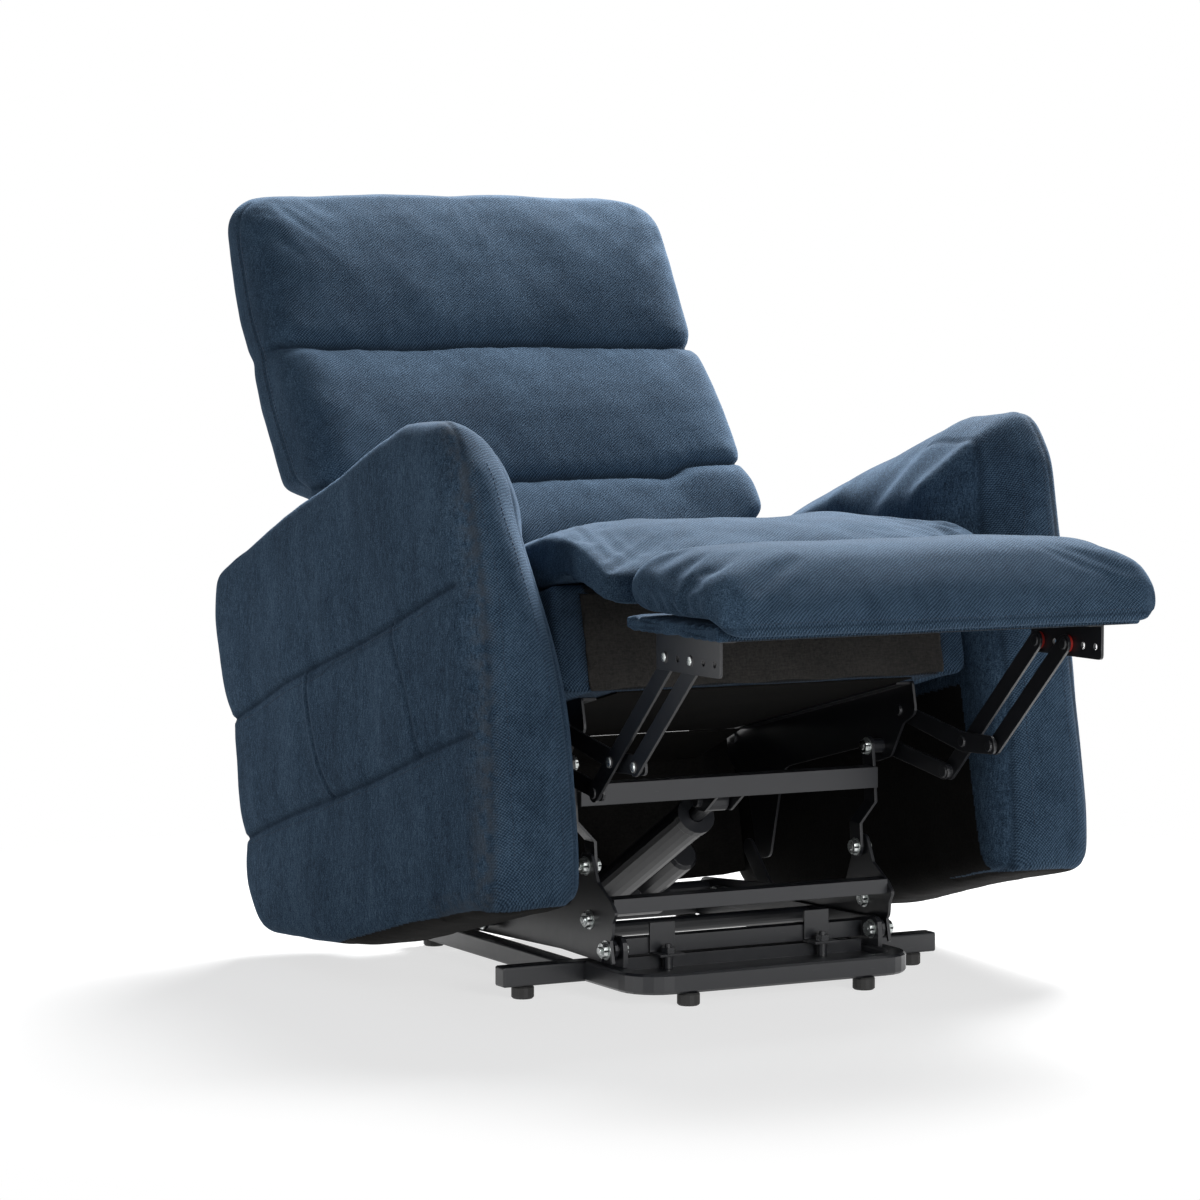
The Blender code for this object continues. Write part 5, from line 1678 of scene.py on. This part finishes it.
    def outer_seams(self, points: Array) -> tuple[Array, Array]:
        """Depth of the outer face, and how far its seams are darkened with painted shade.

        The depth is the sum of each fold's bells times its depth, less the rise of the pocket's
        bag, plus a broad, a fine and, in the valleys, a puckered ripple. The folds fade in over
        the outer half of the thickness and behind the front edge.

        Args:
            points: places of the right arm, in body coordinates.

        Returns:
            The depth, and the share of painted seam shade.
        """
        x, y, z = points.T
        outside = smooth((self.across_share(x) - 0.45) / 0.3)
        reach = outside * smooth((y + 0.176) / 0.022)
        upper = line_distance(y, z, *self.upper_seam) + 0.003 * np.sin(y * 11 + 1)
        lower = line_distance(y, z, *self.lower_seam) + 0.002 * np.sin(y * 13)
        groove = self.groove.share(upper, lower) * reach
        valley = self.valley.share(upper, lower) * reach
        swell = self.swell.share(upper - self.swell_rise, lower - self.swell_rise) * reach
        between, rim = outside * (upper < 0) * (lower > 0), self.pocket_rims(y, z)
        welt = self.welt.share(*rim) * between
        ditch = self.ditch.share(*(gap - self.ditch_inset for gap in rim)) * between
        pocket = self.in_pocket(y, z) * outside
        hem = self.hem.share(upper + self.hem_drop) * pocket
        bag = pocket * smooth(-upper / 0.006) * smooth(lower / 0.006)
        folds = ((groove, self.groove), (valley, self.valley), (swell, self.swell),
                 (welt, self.welt), (ditch, self.ditch), (hem, self.hem))
        depth = sum(share * fold.depth for share, fold in folds) - bag * self.bag_rise
        depth = depth + ripple(points, 0.20, 61 + int(self.side.value)) * 0.0022 * outside
        depth = depth + ripple(points * (1, 1, 0.3), 0.055, 63) * 0.0005
        depth = depth + valley * ripple(points * (1, 1, 0.4), 0.030, 65) * 0.0006
        return depth, groove * 0.95 + ditch * 0.50 + hem * 0.40

    def front_band(self, points: Array) -> tuple[Array, Array, Array]:
        """The band of ribbed cloth down the arm's front, its two seams and the greyer strip beside it.

        Args:
            points: places of the right arm, in body coordinates.

        Returns:
            The shares of band, of seam, which also sets the painted seam shade, and of the greyer strip
            at each place.
        """
        x, y, z = points.T
        share, (inner, outer) = self.across_share(x), self.band_edges(z)
        on_rim = (share > 0.001) & (share < 0.999) & (y < 0.10)
        rear = -0.055 + 0.16 * smooth((z - 0.30) / 0.08)
        band = smooth((x - inner + 0.004) / 0.008) * smooth((outer + 0.010 - x) / 0.022) \
            * smooth((rear - y) / 0.02)
        seam = sum(bell(x - edge, width) for edge, width in zip((inner, outer), self.band_seams))
        # Greyer strip just outside the band's outer seam, on the front rim.
        lint = bell(x - outer - 0.004, 0.011) * on_rim * (y < -0.01)
        return band, seam * on_rim * (y < -0.02), lint

    def lining(self, points: Array) -> Array:
        """Share of black cloth: below the hem line, and low on the inner face.

        Args:
            points: places of the right arm, in body coordinates.

        Returns:
            The share at each place.
        """
        x, y, z = points.T
        below = smooth((self.hem_line(y) - z) / 0.003)
        low = smooth((0.062 - z) / 0.006) * smooth((y + 0.118) / 0.004)
        return np.clip(below + smooth((0.11 - self.across_share(x)) / 0.03) * low, 0, 1)

    @staticmethod
    def hem_line(y: Array) -> Array:
        """Height where the black cloth under the arm begins, along the arm."""
        return np.interp(y, (-0.16, -0.10, 0.05, 0.24, 0.33, 0.45),
                         (-0.182, -0.177, -0.175, -0.177, -0.176, -0.190))

    def pocket_rims(self, y: Array, z: Array) -> list[Array]:
        """Signed distances from the pocket's rear and front edges, each bowed like a half sine.

        Args:
            y: places along the arm.
            z: heights.

        Returns:
            The distances inside the rear edge and inside the front edge.
        """
        share = np.clip((z + 0.004) / 0.170, 0, 1)
        bow = 0.010 * np.sin(math.pi * share)
        loop = self.pocket
        rear = line_distance(z, y, loop[3][::-1], loop[0][::-1])
        front = line_distance(z, y, loop[2][::-1], loop[1][::-1])
        return [-(rear - bow), front + bow]

    def in_pocket(self, y: Array, z: Array) -> Array:
        """Share of the pocket's cloth at a place: 1 between its two side welts.

        Args:
            y: places along the arm.
            z: heights.

        Returns:
            The share at each place.
        """
        rear, front = self.pocket_rims(y, z)
        return smooth(rear / 0.006) * smooth(front / 0.006)

    @staticmethod
    def band_edges(z: Array) -> tuple[Array, Array]:
        """X of the front band's inner and outer seam at a height.

        Args:
            z: heights.

        Returns:
            The inner and the outer seam's X at each height.
        """
        heights = (-0.12, -0.06, 0.06, 0.18, 0.30, 0.36, 0.42)
        inner = np.interp(z, heights, (0.307, 0.308, 0.312, 0.316, 0.329, 0.339, 0.352))
        outer = np.interp(z, heights, (0.416, 0.414, 0.408, 0.404, 0.408, 0.406, 0.404))
        return inner, outer

    def stitch(self, piece: Piece) -> None:
        """Sew one row beside each seam of the front band and along the outer seams.

        Args:
            piece: the arm that is sewn.
        """
        z = np.linspace(-0.14, 0.37, 130)
        inner, outer = self.band_edges(z)
        side = self.side.value
        paths = [BODY.place(np.stack([side * (edge + shift), np.full_like(z, -0.24), z], 1))
                 for edge, shift in ((inner, 0.0035), (outer, -0.0045))]
        y = np.linspace(-0.10, 0.50, 140)
        for a, b in (self.upper_seam, self.lower_seam):
            height = a[1] + (y - a[0]) * (b[1] - a[1]) / (b[0] - a[0]) - 0.007
            paths.append(BODY.place(np.stack([np.full_like(y, side * 0.46), y, height], 1)))
        sew(f"arm_stitching_{self.side.word}", piece, paths, "chassis", self.finishes)


@dataclass
class Footrest:
    """Footrest pad with its turned-down front, on a cloth-covered board."""

    finishes: Finishes
    bottom: float = 0.0473
    front: float = -0.204
    lip_bottom: float = 0.030
    half: float = 0.304
    hem: Fold = Fold(0.0024, 0.0010)
    hem_height: float = 0.0455
    stitch_height: float = 0.0465
    tuck: Fold = Fold(0.016, 0.004)
    tuck_height: float = 0.060
    board_half: float = 0.286
    board_under: float = 0.0293
    board_top: float = 0.0468

    def build(self) -> None:
        """Make the pad, its hem stitching and the board; the tucks are a sine at each end."""
        form = PaddedForm("footrest_pad_cover", (
            (0.036, self.bottom), (0.046, self.bottom + 0.045), (0.014, 0.1213), (-0.110, 0.1213),
            (-0.176, 0.112), (self.front, 0.078), (self.front - 0.002, self.lip_bottom),
            (-0.170, self.lip_bottom), (-0.168, self.bottom)), self.half, 0.009, 0.040)
        piece = form.cover(FOOTREST)
        Stuffing(reach=0.016).fill(piece, self.held)
        local = FOOTREST.local(coordinates(piece.data))
        hem = self.hem.share(local[:, 2] - self.hem_height) * smooth((-0.15 - local[:, 1]) / 0.03)
        end = np.abs(local[:, 0]) - (self.half - 0.034)
        tuck = smooth(end / 0.02) * self.tuck.share(local[:, 2] - self.tuck_height)
        wave = 0.5 + 0.5 * np.sin(local[:, 1] * 210)
        sculpt(piece, hem * self.hem.depth + tuck * self.tuck.depth * wave
               + ripple(local, 0.11, 71) * 0.0010)
        # Painted shade: the hem is marked to darken in the cloth's colour.
        mark(piece, "seam", hem * 0.6)
        mark(piece, "ply", smooth((0.012 - end) / 0.03))
        declare(piece, "footrest", ("footrest_pad",), self.finishes.twill)
        x = np.linspace(-0.27, 0.27, 220)
        path = np.stack([x, np.full_like(x, -0.24), np.full_like(x, self.stitch_height)], 1)
        sew("footrest_stitching", piece, [FOOTREST.place(path)], "footrest", self.finishes)
        self.board()

    def held(self, points: Array) -> Array:
        """What the stuffing doesn't move: the pad's foot and lip.

        Args:
            points: vertex places in the row frame.

        Returns:
            True for each vertex that stays.
        """
        return FOOTREST.local(points)[:, 2] < self.bottom + 0.006

    def board(self) -> None:
        """Board wrapped in cloth, with a puckered fold at each end."""
        under, top = self.board_under, self.board_top
        form = PaddedForm("footrest_board_cover", (
            (0.050, under), (0.050, top), (-0.167, top), (-0.167, under)), self.board_half, 0.0034,
            0.005, slack=0.0, around=300, stations=110)
        piece = form.cover(FOOTREST)
        local = FOOTREST.local(coordinates(piece.data))
        end = smooth((np.abs(local[:, 0]) - self.board_half + 0.024) / 0.02)
        sculpt(piece, end * 0.0011 * (1 + np.sin(local[:, 1] * 260 + 3 * np.sin(local[:, 1] * 47))))
        mark(piece, "ply", 1 - end)
        mark(piece, "dark", smooth((under + 0.0022 - local[:, 2]) / 0.001) * (1 - end))
        declare(piece, "footrest", ("footrest_board",), self.finishes.twill)


# --- hardware ---
@dataclass(frozen=True)
class Turned:
    """A round or six-sided fastener along X: stations of (distance, radius) about a centre.

    A station's ring is a circle, or for a hexagon the circle times
    cos(30) / cos(angle from the nearest flat), so its flats are straight.
    """

    stations: tuple[tuple[float, float, bool], ...]
    sides: int = 36

    def rings(self, centre: Array, side: float) -> Array:
        """Rings of the fastener about a centre, its distances counted along side * X.

        Args:
            centre: the place on the chair's middle plane that the fastener turns about.
            side: 1 or -1, the way in which distances are counted along X.

        Returns:
            (stations, sides, 3) points.
        """
        turn = np.arange(self.sides) * 2 * math.pi / self.sides
        flat = math.cos(math.pi / 6) / np.cos((turn + math.pi / 6) % (math.pi / 3) - math.pi / 6)
        rings = []
        for distance, radius, six in self.stations:
            size = radius * (flat if six else 1.0)
            rings.append(np.stack([np.full(self.sides, side * distance),
                                   centre[1] + np.cos(turn) * size,
                                   centre[2] + np.sin(turn) * size], 1))
        return np.array(rings)


THREAD_PITCH = 0.0009


def nut(start: float, radius: float, height: float, thread: float, stem: float) -> Turned:
    """Washer, chamfered hex nut and thread end as one turned piece, from start outwards.

    Args:
        start: distance at which the washer begins; below 0 it is on the other side, facing in.
        radius: the nut's radius; its corners and its washer are a little wider.
        height: of the washer and the nut together.
        thread: radius of the thread.
        stem: how far the thread stands out of the nut.

    Returns:
        The fastener.
    """
    top, washer, corner = start + height, radius * 1.22, radius * 1.04
    turns = int(stem / THREAD_PITCH)
    grooves = []
    for k in range(turns):
        base = top + k * stem / turns
        grooves += [(base + 0.0002, thread, False), (base + stem / turns * 0.5, thread * 0.88, False)]
    return Turned(((start - 0.0001, washer, False), (start + 0.0010, washer, False),
                   (start + 0.0012, radius * 0.99, True), (start + 0.0018, corner, True),
                   (top - 0.0012, corner, True), (top, radius * 0.90, False),
                   (top, thread, False), *grooves, (top + stem, thread * 0.8, False)))


def rivet(start: float, radius: float, height: float) -> Turned:
    """Domed rivet head: rings on a quarter circle from the rim to the crown.

    Args:
        start: distance at which the head begins.
        radius: the head's radius.
        height: how far its crown stands out.

    Returns:
        The fastener.
    """
    angle = np.linspace(0, 0.46 * math.pi, 7)
    dome = tuple((start + height * math.sin(a), radius * math.cos(a) + 1e-4, False) for a in angle)
    return Turned(((start - 0.0002, radius, False), *dome), 24)


@dataclass
class Hardware:
    """Nuts, rivets, spacers and the finishes of every steel node.

    The fields are the X of the faces that the fasteners sit on, and the (Y, Z) of two bolts.
    """

    finishes: Finishes
    plate_out: float = 0.1985
    arm_in: float = 0.1878
    plate_in: float = 0.1946
    lug_in: float = 0.1782
    link_out: float = 0.2146
    seat_in: float = 0.2119
    low_bar_out: float = 0.2442
    high_bar_out: float = 0.2524
    bracket_out: float = 0.2600
    rivet_pitch: float = 0.060
    drive_pin: Point = (-0.015, 0.159)
    stop_bolt: Point = (-0.025, 0.094)

    def build(self) -> None:
        """Dress the nodes, then add the nuts and bolt heads of the lift and the rivets."""
        self.dress_nodes()
        pin, stop = (GROUND.place(np.array((0.0, *spot))) for spot in (self.drive_pin, self.stop_bolt))
        tip, lift = PIVOTS["lift_frame_tip"], PIVOTS["lift"]
        link, seat = PIVOTS["rear_link_swing"], PIVOTS["body_level"]
        plate = nut(self.plate_out, 0.0098, 0.0072, 0.0050, 0.0038)
        groups = (
            ("plate_nuts", "lift_frame", plate, (pin, tip, stop)),
            ("lug_nuts", "base", plate, (lift,)),
            ("arm_bolt_heads", "lift_frame", nut(-self.arm_in, 0.0093, 0.0066, 0.0045, 0.0006),
             (pin, tip)),
            ("plate_bolt_heads", "lift_frame", nut(-self.plate_in, 0.0093, 0.0062, 0.0045, 0.0006),
             (stop,)),
            ("lug_bolt_heads", "base", nut(-self.lug_in, 0.0098, 0.0064, 0.0045, 0.0006), (lift,)),
            ("link_nuts", "lift_frame", nut(self.link_out, 0.0093, 0.0062, 0.0045, 0.0030), (link,)),
            ("seat_bolt_heads", "chassis", nut(-self.seat_in, 0.0093, 0.0064, 0.0045, 0.0008),
             (seat,)))
        for name, body, shape, spots in groups:
            self.fasteners(name, body, shape, spots)
        self.linkage()

    def fasteners(self, name: str, body: str, shape: Turned, spots: Sequence[Array],
                  slot: Slot = Slot.GREY) -> None:
        """One piece with a turned shape at each spot on both sides.

        Args:
            name: the piece's name.
            body: the body that it rides on.
            shape: the turned shape.
            spots: places on the chair's middle plane.
            slot: picks its finish, grey for zinc plate and black for a nylon spacer.
        """
        vertices, faces = joined([closed_loft(shape.rings(spot, side.value))
                                  for side in Side for spot in spots])
        piece = new_piece(name, vertices, faces)
        piece.data.set_sharp_from_angle(angle=math.radians(28))
        declare(piece, body, (), self.finishes.zinc if slot is Slot.GREY
                else self.finishes.washer)

    def linkage(self) -> None:
        """Rivets of the footrest linkage and the red spacers at its brackets."""
        bracket = PIVOTS["footrest_fold"]
        holes = (bracket, bracket + np.array((0.0, -self.rivet_pitch, 0.0)))
        self.fasteners("knee_rivets", "lower_bar", rivet(self.high_bar_out + 0.0018, 0.0062, 0.0022),
                       (PIVOTS["rear_bar_fold"], PIVOTS["front_bar_fold"]))
        self.fasteners("bracket_rivets", "footrest", rivet(self.bracket_out + 0.0008, 0.0062, 0.0022),
                       holes)
        self.fasteners("seat_rivets", "chassis", rivet(self.low_bar_out + 0.0020, 0.0062, 0.0020),
                       (PIVOTS["lower_bar_fold"], PIVOTS["body_level"]))
        spacer = Turned(((0.25245, 0.0098, False), (0.2526, 0.0104, False), (0.2560, 0.0104, False),
                         (0.2562, 0.0098, False)), 28)
        self.fasteners("bracket_spacers", "footrest", spacer, holes, Slot.BLACK)

    def dress_nodes(self) -> None:
        """Give each steel, rubber and dust-cloth node its finish."""
        for name, node in frame["nodes"].items():
            if name.startswith("foot_"):
                dress(node, self.finishes.rubber)
            # Cloth and underside nodes take the darker felt copy: painted shade under the seat.
            elif "cloth" in name or "underside" in name:
                dress(node, self.finishes.painted_shade_felt)
            elif name in ("lift_front_crossbar", "drive_crossbar", "actuator_tube", "actuator_rod"):
                dress(node, self.finishes.satin)
            elif name.startswith("footrest_") and name.endswith(("left", "right")):
                dress(node, self.finishes.bar_paint)
            elif not node.hide_render:
                dress(node, self.finishes.paint)


# --- studio ---
@dataclass(frozen=True)
class Lamp:
    """A square soft lamp that points at the chair."""

    name: str
    place: tuple[float, float, float]
    size: float
    power: float

    def add(self, target: Vector) -> None:
        """Link the lamp, turned towards the target.

        Args:
            target: the place that it shines at.
        """
        data = bpy.data.lights.new(self.name, "AREA")
        data.size, data.energy = self.size, self.power
        lamp = bpy.data.objects.new(self.name, data)
        lamp.location = self.place
        lamp.rotation_euler = (target - Vector(self.place)).to_track_quat("-Z", "Y").to_euler()
        bpy.context.scene.collection.objects.link(lamp)


@dataclass(frozen=True)
class Studio:
    """Pale floor, white surroundings, soft lamps and the camera at the photograph's angle."""

    camera_x: float = -2.6211
    camera_y: float = -4.5894
    camera_z: float = 0.8629
    azimuth: float = math.radians(-28.10)
    pitch: float = math.radians(4.18)
    focal_pixels: float = 4266.3
    picture: float = 1200.0
    sensor: float = 36.0
    lamps: tuple[Lamp, ...] = (
        Lamp("overhead", (1.55, 1.6, 2.75), 2.0, 375.0),
        Lamp("front", (0.0, -4.5, 1.1), 1.6, 80.0),
        Lamp("left", (-3.8, -0.35, 0.26), 0.9, 30.0))
    aim: tuple[float, float, float] = (0.0, 0.0, 0.45)
    floor_size: float = 14.0
    floor_drop: float = 0.0002
    floor_glow: float = 0.68
    fade: Point = (0.75, 1.5)
    fill: float = 0.10

    def build(self) -> None:
        """Set the camera, lamps, floor and world."""
        self.camera()
        for lamp in self.lamps:
            lamp.add(Vector(self.aim))
        self.floor()
        self.world()
        bpy.context.scene.view_settings.view_transform = "Standard"

    def camera(self) -> None:
        """Camera from the photograph: a long lens, a little above the seat, looking slightly down."""
        data = bpy.data.cameras.new("camera")
        data.sensor_width = self.sensor
        data.lens = self.focal_pixels / self.picture * self.sensor
        data.clip_end = 60.0
        camera = bpy.data.objects.new("camera", data)
        camera.location = (self.camera_x, self.camera_y + GROUND.y, self.camera_z)
        back = Vector((math.sin(self.azimuth) * math.cos(self.pitch),
                       -math.cos(self.azimuth) * math.cos(self.pitch), math.sin(self.pitch)))
        camera.rotation_euler = back.to_track_quat("Z", "Y").to_euler()
        bpy.context.scene.collection.objects.link(camera)
        bpy.context.scene.camera = camera

    def floor(self) -> None:
        """Floor sheet at Z = 0, which fades to plain white far from the chair.

        The camera sees its light as a diffuse grey plus an even glow, so the open floor is white
        and only the chair's shadow shows; light itself sees the grey alone.
        """
        size = self.floor_size
        corners = np.array(((-size, -size, 0), (size, -size, 0), (size, size, 0), (-size, size, 0)))
        piece = new_piece("floor", corners - (0, 0, self.floor_drop), [[0, 1, 2, 3]], False)
        g = Graph(bpy.data.materials.new("pale_floor"))
        grain = g.noise(30.0, 2.0)
        shade = g.out("ShaderNodeBsdfDiffuse", None, {
            "Color": g.mix(grain, (0.36, 0.36, 0.36), (0.39, 0.39, 0.39))})
        glow = g.out("ShaderNodeEmission", None, {"Color": WHITE, "Strength": self.floor_glow})
        white = g.out("ShaderNodeEmission", None, {"Color": WHITE, "Strength": 1.0})
        far = g.out("ShaderNodeVectorMath", {"operation": "LENGTH"}, {0: g.place}, "Value")
        total = g.out("ShaderNodeMixShader", None, {
            0: far.clamp(*self.fade), 1: g.out("ShaderNodeAddShader", None, {0: shade, 1: glow}),
            2: white})
        dress(piece, g.close(g.out("ShaderNodeMixShader", None, {0: g.seen(), 1: shade, 2: total})))

    def world(self) -> None:
        """White to the camera and in reflections, a soft grey fill as light."""
        world = bpy.data.worlds.new("studio")
        bpy.context.scene.world = world
        g = Graph(world, "ShaderNodeOutputWorld")
        fill = g.out("ShaderNodeBackground", None, {"Color": (0.92, 0.95, 1.0, 1.0),
                                                    "Strength": self.fill})
        white = g.out("ShaderNodeBackground", None, {"Color": WHITE, "Strength": 1.0})
        g.close(g.out("ShaderNodeMixShader", None, {0: g.seen(), 1: fill, 2: white}))


def main() -> None:
    """Build the studio, the upholstery and the hardware in order."""
    logging.basicConfig(level=logging.INFO, format="%(name)s: %(message)s")
    Studio().build()
    finishes = Finishes()
    Backrest(finishes).build()
    Seat(finishes).build()
    for side in Side:
        Arm(side, finishes).build()
    Footrest(finishes).build()
    Hardware(finishes).build()


if __name__ == "__main__":
    main()
